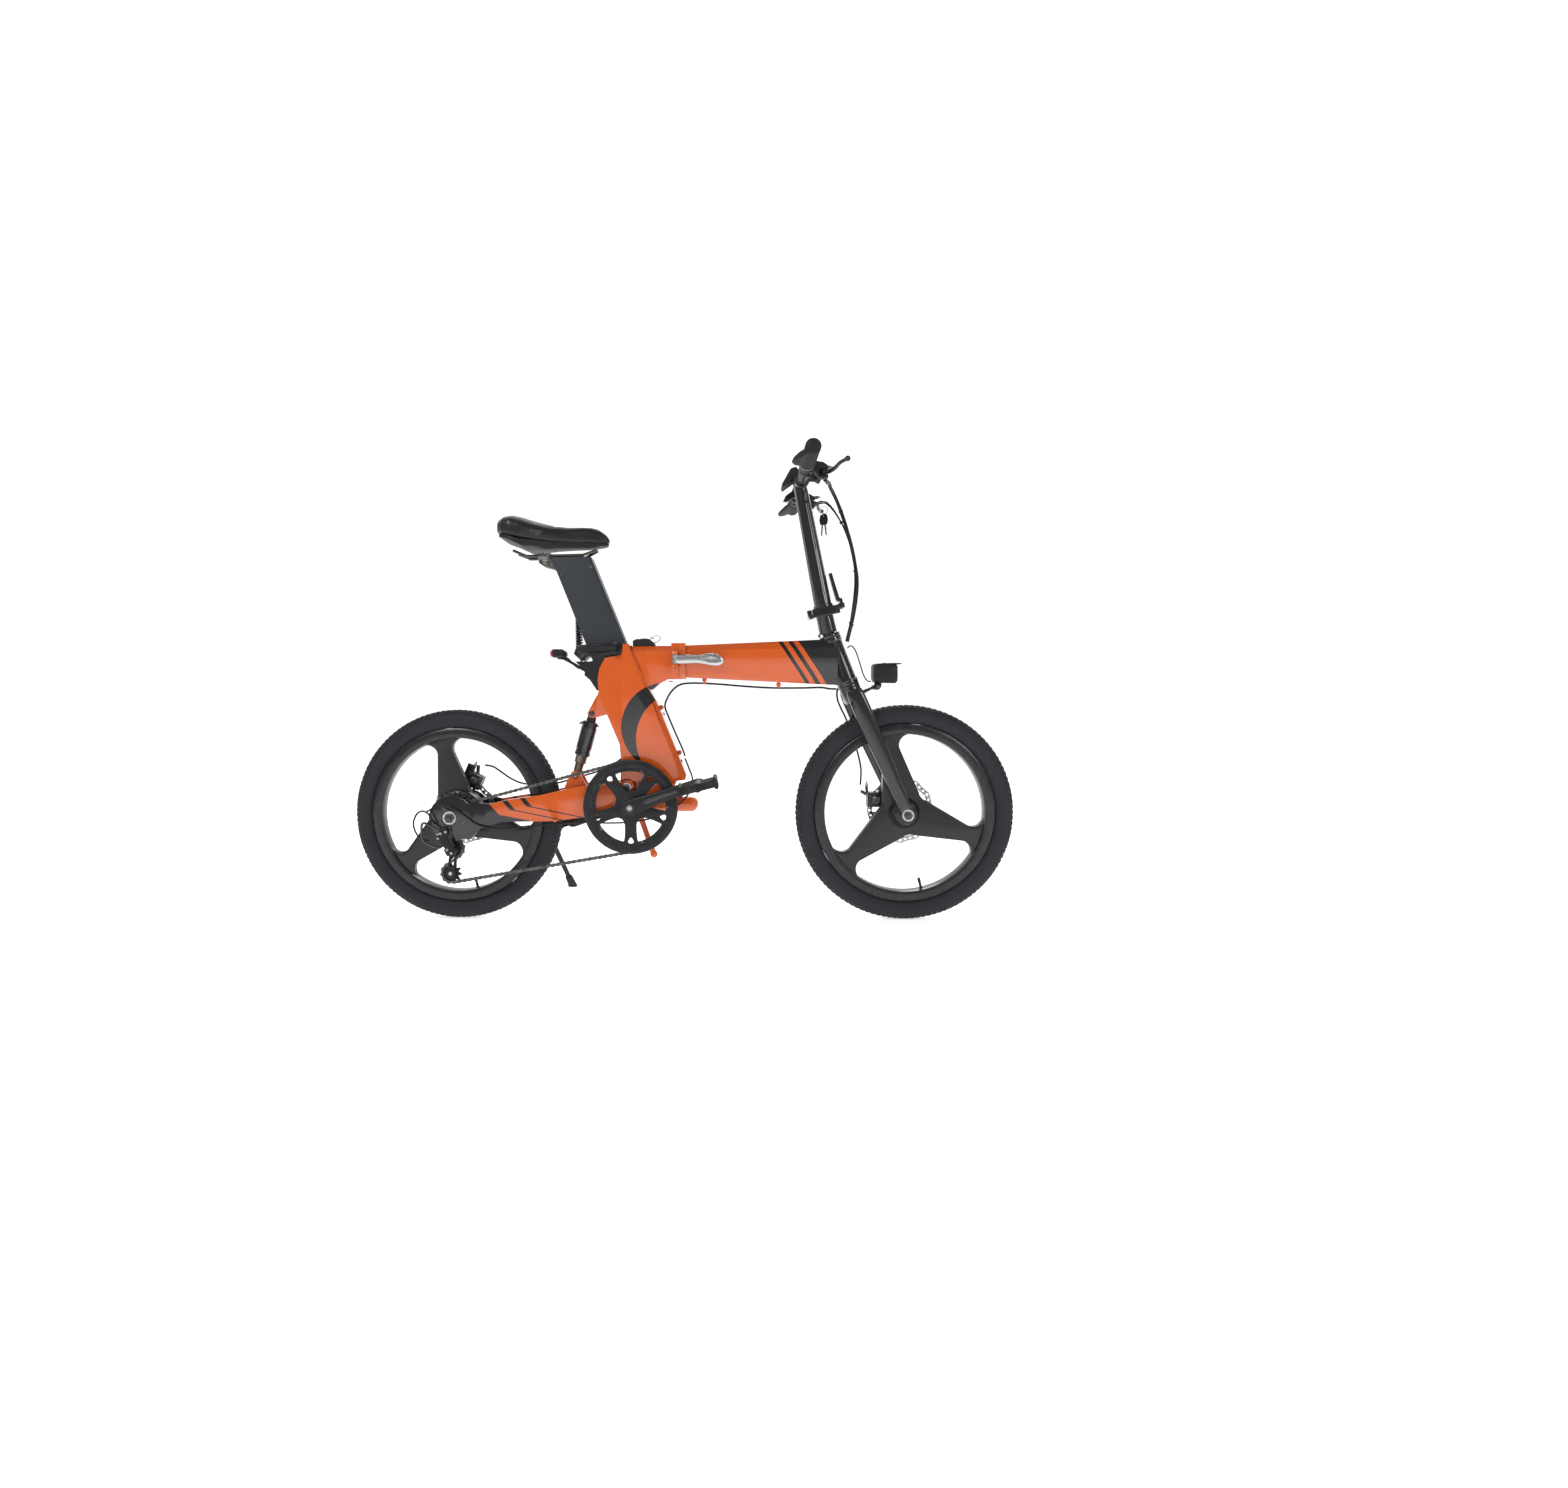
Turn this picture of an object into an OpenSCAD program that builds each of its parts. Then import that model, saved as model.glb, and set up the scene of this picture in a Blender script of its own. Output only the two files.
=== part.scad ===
// Folding electric bicycle with rear suspension, cast three-blade wheels and a seat-tube battery.
// Origin: on the ground, midway between the axles, on the centre plane. +X forward, +Y left, +Z up.

/* [Wheels] */
// Distance between the two axles
wheelbase = 1064; // [1040:2:1090]
// Outer radius of the tyres
tyre_r = 253; // [251:0.5:255]
// Width of the tyre carcass
tyre_w = 50; // [46:1:54]
// Radius of the open window edge of the cast rim
window_r = 185; // [182:0.5:187]
// Radius of the brake rotors
rotor_r = 80; // [78:0.5:82]
// Gap between the front dropouts
front_old = 100; // [100:1:102]
// Gap between the rear dropouts
rear_old = 135; // [135:1:137]

/* [Frame] */
// Half thickness of the seat box, over its side plates
box_half = 38; // [37.5:0.25:39]
// Half width of the main tube
tube_half = 30; // [28:0.5:31]
// Wall thickness of the main tube
tube_wall = 3; // [2:0.5:4]
// Lean of the head tube from vertical, in degrees
head_lean = 21; // [20.5:0.5:21.5]
// Lean of the seat tube from vertical, in degrees
seat_lean = 21.3; // [21:0.1:21.6]
// Lean of the handlepost from vertical, in degrees
post_lean = 10.5; // [10:0.25:11]

/* [Battery and saddle] */
// Length of the battery section, fore and aft
battery_l = 88; // [86:0.5:88]
// Thickness of the battery, side to side
battery_t = 60; // [58:0.5:60]
// Sliding clearance round the battery
battery_gap = 0.3; // [0.2:0.05:0.4]
// Height of the top of the battery
battery_top = 862; // [858:1:866]

/* [Drive] */
// Teeth on the chainring
ring_teeth = 52; // [52:1:52]
// Teeth on the smallest rear sprocket
cog_teeth = 11; // [11:1:11]
// Pitch of the chain
chain_pitch = 12.7; // [12.7:0.1:12.7]
// Sideways place of the chain
chain_y = -56; // [-57:0.25:-55.5]
// Length of the crank arms, centre to centre
crank_l = 170; // [165:1:172]
// Angle of the right crank above horizontal, in degrees
crank_angle = 19; // [15:1:25]

/* [Handlebar] */
// Half length of the handlebar
bar_half = 290; // [280:1:300]
// Radius of the handlebar
bar_r = 11.1; // [11.1:0.1:12]

/* [Hidden] */
$fn = 64;
axle_z = tyre_r;
rear_x = -wheelbase / 2;
front_x = wheelbase / 2;
// side-view places, as [x, z]
crank_at = [-107, 276];
swing_at = [-117, 320];
shock_top = [-201, 493];
shock_low = [-243, 346];
fold_x = 8;            // plane where the two frame halves meet
fold_y = 44;           // frame hinge axis, on the left
head_foot = [405, 554];  // lower end of the head tube
head_len = 118;
post_foot = [349, 725];  // middle of the handlepost joint
post_hinge = -34;        // hinge pin, in the post's own x
bar_at = [297, 1027];
seat_ref = [-180.3, 700];
stand_at = [-346, 58, 238];
stand_axis = [0.1664, 0.8234, 0.5424];
guide_at = [-529, 178];
tension_at = [-537, 119.3];
light_at = [472, 549];
hub_angle = 101;         // first wheel blade, from forward
half_old_f = front_old / 2;
half_old_r = rear_old / 2;
ring_r = chain_pitch / 2 / sin(180 / ring_teeth);
cog_r = chain_pitch / 2 / sin(180 / cog_teeth);
plate_h = 4.2;           // half height of a chain plate
black = [0.09, 0.09, 0.1];
orange = [0.84, 0.32, 0.08];
grey = [0.23, 0.24, 0.25];
steel = [0.7, 0.7, 0.72];
rubber = [0.12, 0.12, 0.13];

// ---- helpers ------------------------------------------------------------------------------
function arc(c, r, from, to, steps) =
    [for (i = [0:steps]) c + r * [cos(from + (to - from) * i / steps), sin(from + (to - from) * i / steps)]];
function unit(v) = v / norm(v);
// a point on a smooth curve through the route p, at u from 0 to len(p) - 1
function on_route(p, u) =
    let (i = min(floor(u), len(p) - 2), t = u - i,
         a = p[max(i - 1, 0)], b = p[i], c = p[i + 1], d = p[min(i + 2, len(p) - 1)])
    0.5 * (2 * b + (c - a) * t + (2 * a - 5 * b + 4 * c - d) * t * t + (3 * b - a - 3 * c + d) * t * t * t);

// a side-view outline of [x, z] points, as thick as y0 to y1
module side(y0, y1) {
    translate([0, y1, 0]) rotate([90, 0, 0]) linear_extrude(y1 - y0) children();
}
// a round bar along Y at the side-view place p
module rod_y(p, r, y0, y1) {
    translate([p[0], y0, p[1]]) rotate([-90, 0, 0]) cylinder(r = r, h = y1 - y0);
}
// a round bar from point a to point b
module rod(a, b, r, r_end = -1) {
    v = b - a;
    translate(a) rotate([0, acos(v[2] / norm(v)), atan2(v[1], v[0])])
        cylinder(r1 = r, r2 = r_end < 0 ? r : r_end, h = norm(v));
}
// both sides of the bicycle
module both() {
    children();
    mirror([0, 1, 0]) children();
}
// in line with the head tube, its foot at the origin
module on_head() {
    translate([head_foot[0], 0, head_foot[1]]) rotate([0, -head_lean, 0]) children();
}
// in line with the handlepost, its joint face at the origin
module on_post() {
    translate([post_foot[0], 0, post_foot[1]]) rotate([0, -post_lean, 0]) children();
}
// in line with the seat tube
module on_seat() {
    translate([seat_ref[0], 0, seat_ref[1]]) rotate([0, -seat_lean, 0]) children();
}
// in line with the shock, its upper eye at the origin and its lower eye below
module on_shock() {
    v = shock_top - shock_low;
    translate([shock_top[0], 0, shock_top[1]]) rotate([0, atan2(v[0], v[1]), 0]) children();
}
// a cable: a tube swept along a route, with rings at even steps
module cable(route, d, steps, ref = [0, 1, 0], sides = 8) {
    last = len(route) - 1;
    p = [for (i = [0:steps]) on_route(route, last * i / steps)];
    dir = [for (i = [0:steps]) unit(p[min(i + 1, steps)] - p[max(i - 1, 0)])];
    pts = [for (i = [0:steps])
        let (n = unit(cross(dir[i], ref)), b = cross(dir[i], n))
        for (k = [0:sides - 1]) p[i] + d / 2 * (cos(360 * k / sides) * n + sin(360 * k / sides) * b)];
    walls = [for (i = [0:steps - 1], k = [0:sides - 1])
        let (a = i * sides + k, b = i * sides + (k + 1) % sides)
        [a, a + sides, b + sides, b]];
    ends = [[for (k = [0:sides - 1]) k], [for (k = [sides - 1:-1:0]) steps * sides + k]];
    polyhedron(pts, concat(walls, ends));
}
// a toothed disc outline
module teeth(n, tip, root) {
    polygon([for (i = [0:n - 1], k = [0:3])
        let (a = 360 / n * (i + [0.08, 0.36, 0.64, 0.92][k]), r = (k == 1 || k == 2) ? tip : root)
        r * [cos(a), sin(a)]]);
}

// ---- wheels -------------------------------------------------------------------------------
module tyre() {
    bead_r = 228;
    wall_t = 3;
    rotate([90, 0, 0]) rotate_extrude($fn = 96) difference() {
        union() {
            intersection() {
                translate([bead_r, 0]) circle(r = tyre_w / 2 + 1, $fn = 48);
                translate([208.6, -tyre_w / 2]) square([tyre_r - 208.6, tyre_w]);
            }
            for (s = [-1, 1]) translate([197, s * 9.5 - 2]) square([14, 4]);
        }
        intersection() {
            translate([bead_r, 0]) circle(r = tyre_w / 2 - wall_t, $fn = 48);
            translate([210, -tyre_w / 2]) square([60, tyre_w]);
        }
        translate([190, -7.5]) square([25, 15]);
    }
}
// one of the three openings between the blades
module window_outline() {
    corner = 26;
    blade_half = 19;
    offset(r = corner, $fn = 48) offset(delta = -corner) difference() {
        intersection() {
            circle(r = window_r, $fn = 96);
            polygon([[0, 0], 400 * [cos(0), sin(0)], 400 * [cos(60), sin(60)], 400 * [cos(120), sin(120)]]);
        }
        circle(r = 58);
        translate([0, -blade_half]) square([400, 2 * blade_half]);
        rotate(120) translate([0, -blade_half]) square([400, 2 * blade_half]);
    }
}
module cast_wheel(hub_r, hub_low, hub_high, boss_r, boss_high, bore_r) {
    difference() {
        union() {
            rotate([90, 0, 0]) rotate_extrude($fn = 96) polygon([
                [window_r - 1, -15], [window_r + 3, -17], [208, -17], [208, -12], [193, -12],
                [193, 12], [208, 12], [208, 17], [window_r + 3, 17], [window_r - 1, 15]]);
            side(-12, 12) difference() {
                circle(r = window_r + 3, $fn = 96);
                for (k = [0:2]) rotate(hub_angle + 120 * k) window_outline();
            }
            rod_y([0, 0], hub_r, hub_low, hub_high);
            rod_y([0, 0], boss_r, hub_low, boss_high);
        }
        rod_y([0, 0], bore_r, hub_low - 1, boss_high + 1);
    }
    // valve stem, pointing at the hub
    rotate([0, -13, 0]) translate([0, 0, -window_r - 1]) cylinder(r = 3, h = 25);
}
module rotor(y) {
    hole_n = 24;
    side(y - 0.9, y + 0.9) difference() {
        union() {
            difference() {
                circle(r = rotor_r, $fn = 96);
                circle(r = rotor_r - 15, $fn = 96);
            }
            difference() {
                circle(r = 26);
                circle(r = 17);
            }
            for (k = [0:5]) rotate(60 * k) translate([20, -3]) rotate(8) square([48, 6]);
        }
        for (k = [0:hole_n - 1]) rotate(360 / hole_n * k)
            translate([rotor_r - 5 - 5 * (k % 2), 0]) circle(r = 2.2, $fn = 16);
        for (k = [0:5]) rotate(60 * k + 30) translate([22, 0]) circle(r = 2.5, $fn = 16);
    }
}
module at_rear() {
    translate([rear_x, 0, axle_z]) children();
}
module at_front() {
    translate([front_x, 0, axle_z]) children();
}
module front_tyre() {
    color(rubber) at_front() tyre();
}
module rear_tyre() {
    color(rubber) at_rear() tyre();
}
module front_rim() {
    color(black) at_front() difference() {
        cast_wheel(32, -36, 30, 27, 36, 6.05);
        rod_y([0, 0], 20, -30, 30);
    }
}
module rear_rim() {
    // the cast hub is the shell of the motor
    color(black) at_rear() difference() {
        cast_wheel(62, -22, 28, 34, 44, 15.1);
        rod_y([0, 0], 56, -16, 22);
    }
}
module front_rotor() {
    color(steel) at_front() rotor(37.2);
}
module rear_rotor() {
    color(steel) at_rear() rotor(45.2);
}
module front_axle() {
    color(steel) at_front() {
        rod_y([0, 0], 6, -half_old_f - 16, half_old_f + 16);
        both() rod_y([0, 0], 11, -half_old_f + 0.2, -half_old_f + 9);
        both() side(-half_old_f - 15, -half_old_f - 8.2) difference() {
            circle(r = 10, $fn = 6);
            circle(r = 6.1);
        }
    }
}
module rear_axle() {
    // hollow motor axle with the stator that it carries
    color(steel) at_rear() {
        rod_y([0, 0], 6.5, -half_old_r - 18, half_old_r + 15.5);
        rod_y([0, 0], 6, half_old_r + 15, half_old_r + 27.5);
        rod_y([0, 0], 15, -20, 42);
        rod_y([0, 0], 52, -12, 18);
        both() side(-half_old_r - 15, -half_old_r - 8.2) difference() {
            circle(r = 12, $fn = 6);
            circle(r = 6.6);
        }
    }
}

// ---- rear frame -----------------------------------------------------------------------------
box_outline = [[-122, 656], [-104, 656], [-69, 560], [-46, 520], [22, 346], [20, 336], [-15, 332],
    [-132, 335], [-131, 390], [-133, 421], [-163, 493], [-186, 530], [-181, 545], [-183, 575],
    [-178, 600], [-165, 624], [-126, 630]];
box_room = [[-110, 700], [-74, 560], [-51, 514], [12, 342], [-125, 342], [-125, 390], [-127, 423],
    [-158, 500], [-178, 530], [-300, 530], [-300, 700]];
hinge_low = 572;
hinge_high = 656;
module hinge_flange(x0, x1) {
    translate([x0, -36, hinge_low]) cube([x1 - x0, 71, hinge_high - hinge_low]);
}
module knuckle(z0, z1, x0, x1) {
    translate([fold_x, fold_y, z0]) cylinder(r = 8, h = z1 - z0);
    translate([x0, 30, z0]) cube([x1 - x0, fold_y - 30, z1 - z0]);
}
module rear_frame() {
    color(orange) difference() {
        union() {
            // side plates and walls, chamfered along the front edge
            difference() {
                side(-box_half, box_half) polygon(box_outline);
                side(-34.5, 34.5) polygon(box_room);
                for (s = [-1, 1]) translate([-46, s * box_half, 520]) rotate([0, -atan(68 / 174), 0])
                    rotate([0, 0, 45]) cube([17, 17, 420], center = true);
            }
            // stub of the main tube
            intersection() {
                side(-tube_half, tube_half) polygon([[-104, 651], [-2, 651], [-2, 574], [-19, 572],
                    [-38, 562], [-54, 548], [-68, 549]]);
                translate([-110, 0, 0]) rotate([90, 0, 90]) linear_extrude(110) polygon([[-tube_half, 500],
                    [-tube_half, 639], [-18, 651], [18, 651], [tube_half, 639], [tube_half, 500]]);
            }
            hinge_flange(-9, fold_x - 0.2);
            knuckle(574, 596, -9, 3);
            knuckle(632, 654, -9, 3);
            // ears of the frame latch
            for (z = [599, 630]) translate([-7, -55, z]) cube([14, 20, 7]);
            // lugs of the shock
            both() side(13, 20) polygon([[-188, 536], [-205, 506], [-211, 494], [-206, 484],
                [-196, 483], [-163, 492], [-161, 499], [-176, 528]]);
            // pivot boss, bottom bracket and the tube in front of it
            rod_y(swing_at, 17, -20, 20);
            side(-20, 20) polygon([[-134, 338], [-134, 318], [-128, 262], [-70, 262], [-20, 288], [0, 334]]);
            rod_y(crank_at, 24, -34, 34);
            rod([-95, 0, 275], [31, 0, 275], 18.5);
            translate([31, 0, 275]) sphere(r = 18.5);
            // support leg under the bottom bracket
            rod([-96, 0, 262], [-60, 0, 156], 7);
            translate([-59, 0, 154]) sphere(r = 9);
            // cable stops on the front edge
            for (p = [[-37, 506], [5, 398]]) side(-6, 6) translate(p) circle(r = 6);
        }
        // rooms inside the stub and round the parts that fit
        side(-tube_half + 4, tube_half - 4) polygon([[-92, 640], [-14, 640], [-14, 585], [-40, 576], [-64, 556]]);
        rod_y(crank_at, 17.2, -35, 35);
        rod_y(swing_at, 6.2, -21, 21);
        rod_y(shock_top, 4.2, -21, 21);
        both() rod_y(swing_at, 19.5, 20.2, 60);
        translate([fold_x, fold_y, 500]) cylinder(r = 3.3, h = 200);
        translate([0, -47, 590]) cylinder(r = 3.2, h = 60);
    }
}
module seat_section(half_l, half_t, t0, t1) {
    on_seat() translate([-half_l, -half_t, t0]) cube([2 * half_l, 2 * half_t, t1 - t0]);
}
module battery_socket() {
    color(black) difference() {
        union() {
            intersection() {
                seat_section(battery_l / 2 + 2.5, battery_t / 2 + 3.6, -240, 0);
                translate([-400, -60, 478]) cube([400, 120, 139.6]);
            }
            side(-33, 33) polygon([[-236, 616.4], [-213, 595], [-215, 584], [-202, 573],
                [-186, 548], [-170, 560], [-170, 616.4]]);
        }
        seat_section(battery_l / 2 + battery_gap, battery_t / 2 + battery_gap, -300, 100);
    }
}
module seat_collar() {
    color(black) difference() {
        side(-40.5, 40.5) polygon([[-238, 634], [-230, 655], [-126, 657], [-126, 632], [-212, 628], [-222, 619]]);
        seat_section(battery_l / 2 + battery_gap, battery_t / 2 + battery_gap, -300, 100);
        translate([-141, -47, 600]) cylinder(r = 3.2, h = 80);
    }
    // ears of the quick release
    color(black) for (z = [634, 652]) difference() {
        translate([-148, -54, z]) cube([14, 13.5, 4.5]);
        translate([-141, -47, 600]) cylinder(r = 3.2, h = 80);
    }
}
module seat_lever() {
    color(black) translate([-141, -47, 0]) difference() {
        union() {
            translate([0, 0, 639]) cylinder(r = 6, h = 12.6);
            translate([-66, -3.5, 639]) cube([66, 7, 12.6]);
            translate([-84, -6, 638.9]) cube([26, 8, 12.8]);
        }
        cylinder(r = 3.2, h = 800);
    }
}
module battery_lock() {
    color(black) side(-21, 21) polygon([[-101, 651.2], [-101, 664], [-92, 668], [-62, 668], [-50, 658], [-49, 651.2]]);
    color(steel) translate([-49, 0, 668]) rotate([0, 20, 0]) rotate_extrude() translate([9.5, 0]) circle(r = 0.9, $fn = 16);
}
module tail_light() {
    color(black) side(-21, 21) polygon([[-293, 627], [-293, 648], [-270, 648], [-262, 641], [-262, 629]]);
    color("red") side(-20, 20) polygon([[-298, 628], [-298, 647], [-293, 647], [-293, 628]]);
    color(black) side(-9, 9) polygon([[-290, 627], [-264, 627], [-214.5, 595.6],
        [-214.5, 591.9], [-265, 623.5], [-290, 623.5]]);
}
module hinge_pins() {
    color(steel) {
        // frame hinge
        translate([fold_x, fold_y, 572]) cylinder(r = 3.25, h = 84);
        translate([fold_x, fold_y, 654.1]) cylinder(r = 6, h = 3);
        // latch pivot
        translate([0, -47, 597]) cylinder(r = 3.15, h = 41);
        // seat lever pivot
        translate([-141, -47, 632.5]) cylinder(r = 3.15, h = 25);
        // swingarm pivot bolt
        rod_y(swing_at, 6, -43, 43);
        both() rod_y(swing_at, 10, -43, -38.8);
        // shock bolt
        rod_y(shock_top, 4, -23, 23);
        both() rod_y(shock_top, 7, -24, -20.2);
    }
}
module bracket_bearings() {
    color(steel) both() difference() {
        union() {
            rod_y(crank_at, 17, -34, -14);
            rod_y(crank_at, 21, -38, -34.1);
        }
        rod_y(crank_at, 8.56, -39, -13);
    }
}
module motor_controller() {
    color(steel) translate([-104, -25, 345]) cube([70, 50, 30]);
}

// ---- battery, saddle ------------------------------------------------------------------------
module battery_case() {
    color(grey) difference() {
        intersection() {
            seat_section(battery_l / 2, battery_t / 2, -193, 260);
            translate([-400, -60, 400]) cube([400, 120, battery_top - 400]);
        }
        seat_section(battery_l / 2 - 3, battery_t / 2 - 3, -190, 145);
        // bevel of the two front edges
        for (s = [-1, 1]) on_seat() translate([battery_l / 2, s * battery_t / 2, 0])
            rotate([0, 0, 45]) cube([7, 7, 700], center = true);
    }
}
module battery_cells() {
    color("seagreen") on_seat() for (i = [-1:1], j = [-0.5:1:0.5], k = [0:3])
        translate([22 * i, 22 * j, -186 + 78 * k]) cylinder(r = 10.4, h = 70, $fn = 24);
}
module saddle_clamp() {
    color(steel) {
        side(-16, 16) polygon([[-322, 851], [-322, 861], [-290.9, 861], [-287.5, 852], [-282.8, 840],
            [-286, 836], [-310, 843]]);
        both() rod([-352, 21, 866], [-214, 21, 866], 3.5);
        both() rod([-349, 21, 866], [-380, 30, 879], 3.2);
        both() rod([-217, 21, 866], [-184, 8, 879], 3.2);
        translate([-322, -27, 858]) cube([31, 54, 13]);
    }
}
saddle_plan = [[-418, 0], [-416, 40], [-405, 66], [-385, 76], [-355, 74], [-320, 58], [-285, 38],
    [-240, 26], [-190, 22], [-165, 18], [-154, 8], [-153, 0]];
module saddle_shell() {
    color(black) intersection() {
        side(-100, 100) polygon([[-408, 908], [-384, 900], [-350, 884], [-200, 884], [-160, 888], [-156, 893],
            [-200, 894], [-240, 896], [-300, 897], [-360, 900], [-400, 914]]);
        linear_extrude(1200) polygon([for (s = [1, -1]) for (i = [0:11])
            let (p = saddle_plan[s > 0 ? i : 11 - i]) [p[0] * 0.98 - 5.6, s * p[1] * 0.94]]);
    }
}
module saddle_cushion() {
    color(rubber) intersection() {
        side(-100, 100) polygon([[-400, 914.2], [-414, 912], [-418, 926], [-412, 946], [-400, 956], [-385, 960],
            [-361, 955], [-329, 941], [-294, 934], [-242, 931], [-210, 932], [-186, 928], [-165, 918],
            [-154, 904], [-153, 892], [-156, 893.2], [-200, 894.2], [-240, 896.2], [-300, 897.2], [-360, 900.2]]);
        linear_extrude(1200) polygon([for (s = [1, -1]) for (i = [0:11])
            let (p = saddle_plan[s > 0 ? i : 11 - i]) [p[0], s * p[1]]]);
    }
}
coil_r = 9.5;
module coil_cable() {
    color(black) {
        rod([-240, 50.5, 632], [-240, 50.5, 782], coil_r);
        cable([[-240, 50.5, 631.8], [-240, 50.5, 622], [-236, 48, 612], [-228, 42, 606], [-222, 36.4, 604]], 5, 12);
        cable([[-240, 50.5, 782.2], [-240, 50.5, 792], [-241, 44, 800], [-242, 36, 803], [-242, 30.2, 803.5]], 5, 12, [1, 0, 0]);
    }
}

// ---- front frame ------------------------------------------------------------------------------
module tube_slice(x, low, low_ridge, high_ridge, high, half) {
    translate([x, 0, 0]) rotate([90, 0, 90]) linear_extrude(0.5) polygon([
        [-half * 0.55, low], [-half, low_ridge], [-half, high_ridge], [-half * 0.6, high],
        [half * 0.6, high], [half, high_ridge], [half, low_ridge], [half * 0.55, low]]);
}
module main_tube(inset) {
    hull() {
        tube_slice(22, 576 + inset, 587, 639, 651 - inset, tube_half - inset);
        tube_slice(376, 554 + inset, 579, 641, 661 - inset, tube_half - inset);
    }
}
module front_frame() {
    color(orange) difference() {
        union() {
            difference() {
                main_tube(0);
                main_tube(tube_wall);
                // follow the lean of the head tube
                on_head() translate([0, -60, -100]) cube([200, 120, 400]);
            }
            hinge_flange(fold_x + 0.2, 24);
            knuckle(596.4, 631.6, 13, 24);
            // land that the latch presses on
            translate([12, -42.4, 609]) cube([10, 7, 18]);
            on_head() cylinder(r = 23, h = head_len);
            on_head() for (z = [0, head_len - 9]) translate([0, 0, z]) cylinder(r = 25, h = 9);
            // gusset between the tube and the head tube
            side(-21, 21) polygon([[330, 656], [350, 658], [366, 655], [404, 558], [388, 552], [336, 560]]);
            // cable stops under the tube
            for (p = [[67, 570], [241, 557]]) side(-12, -4) translate(p) circle(r = 5.5);
        }
        on_head() translate([0, 0, -1]) cylinder(r = 17, h = head_len + 2);
        on_head() translate([0, 0, head_len - 0.2]) cylinder(r = 25.3, h = 30);
        translate([fold_x, fold_y, 500]) cylinder(r = 3.3, h = 200);
    }
}
module headset() {
    color(steel) on_head() {
        for (z = [-8, head_len + 0.2]) translate([0, 0, z]) difference() {
            cylinder(r = 24.5, h = 7.8);
            translate([0, 0, -1]) cylinder(r = 14.38, h = 10);
        }
        for (z = [0.5, head_len - 8.5]) translate([0, 0, z]) difference() {
            cylinder(r = 16.8, h = 8);
            translate([0, 0, -1]) cylinder(r = 14.38, h = 10);
        }
    }
}
frame_route = [[376, -10, 545], [358, -9.5, 546], [340, -9, 549], [300, -8, 548.5], [241, -8, 549],
    [200, -8, 551], [150, -8, 555], [110, -8, 559], [67, -8, 562], [34, -8, 563], [10, -8, 560], [-8, -8, 548],
    [-22, -7, 528], [-28, -3, 508], [-20, 0, 484], [-4, 0, 445], [12, 0, 408], [18, 0, 390]];
module frame_cable() {
    // gear and brake cables, side by side under the main tube and past the hinge
    color(black) cable(frame_route, 4, 56);
    color(black) cable([for (p = frame_route) [p[0], p[1] + 5, p[2] - 0.5]], 4, 56);
}
module frame_lever() {
    color([0.8, 0.8, 0.8]) difference() {
        union() {
            translate([0, -47, 606.8]) cylinder(r = 7, h = 22.4);
            side(-53, -43) polygon([[0, 606.8], [0, 629], [40, 629], [56, 629], [78, 631], [100, 624], [112, 612],
                [98, 602], [74, 599], [54, 606.8]]);
        }
        translate([0, -47, 590]) cylinder(r = 3.2, h = 60);
    }
}

// ---- fork, stem, light -------------------------------------------------------------------------
leg_top = [414, 528];
module fork_leg() {
    u = unit([front_x, axle_z] - leg_top);
    n = [-u[1], u[0]];
    foot = [front_x, axle_z] - 14 * u;
    difference() {
        union() {
            side(half_old_f + 1, half_old_f + 21) polygon([leg_top - 20 * n - 12 * u, leg_top + 20 * n - 12 * u,
                leg_top + 20 * n + 60 * u, foot + 13 * n, foot + 13 * n + 18 * u, foot - 13 * n + 18 * u,
                foot - 13 * n, leg_top - 20 * n + 60 * u]);
            rod_y([front_x, axle_z], 17, half_old_f, half_old_f + 8);
        }
        rod_y([front_x, axle_z], 17.2, half_old_f + 8, half_old_f + 30);
        rod_y([front_x, axle_z], 6.2, 0, 100);
    }
}
module fork() {
    color(black) {
        on_head() translate([0, 0, -9]) cylinder(r = 14.3, h = head_len + 30);
        on_head() translate([0, 0, -42]) cylinder(r = 24, h = 33.7);
        side(-half_old_f - 21, half_old_f + 21) polygon([[393, 520], [403, 541], [428, 551], [434, 536], [424, 516], [402, 508]]);
        both() fork_leg();
        // tabs for the disc caliper
        side(half_old_f + 1, half_old_f + 7) polygon([[514, 318], [488, 316], [488, 299], [520, 296]]);
        side(half_old_f + 1, half_old_f + 7) polygon([[520, 262], [488, 259], [488, 246], [520, 245]]);
        // strap that carries the headlight
        side(-9, 9) polygon([[426, 536], [430, 530], [441, 534], [462, 545], [461, 551], [438, 541]]);
        difference() {
            both() side(5, 9) polygon([[458, 543], [472, 542], [479, 549], [472, 556], [459, 552]]);
            rod_y(light_at, 3.05, -10, 10);
        }
    }
}
module stem_base() {
    color(black) difference() {
        union() {
            rod([358.5, 0, 675.5], [349.6, 0, 717], 21, 20);
            on_post() translate([-27, -24, -10]) cube([61, 48, 9.8]);
            on_post() both() translate([post_hinge, 12.3, -6]) rotate([-90, 0, 0]) cylinder(r = 5.8, h = 11.7);
            on_post() both() translate([post_hinge, 12.3, -10]) cube([10, 11.7, 8]);
        }
        on_head() translate([0, 0, -9]) cylinder(r = 14.4, h = head_len + 31);
        on_head() translate([-60, -60, 0]) cube([120, 120, head_len + 8.3]);
        on_post() translate([post_hinge, -30, -6]) rotate([-90, 0, 0]) cylinder(r = 3.2, h = 60);
    }
    color(steel) on_post() translate([post_hinge, -24, -6]) rotate([-90, 0, 0]) cylinder(r = 3.15, h = 48);
}
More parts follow.
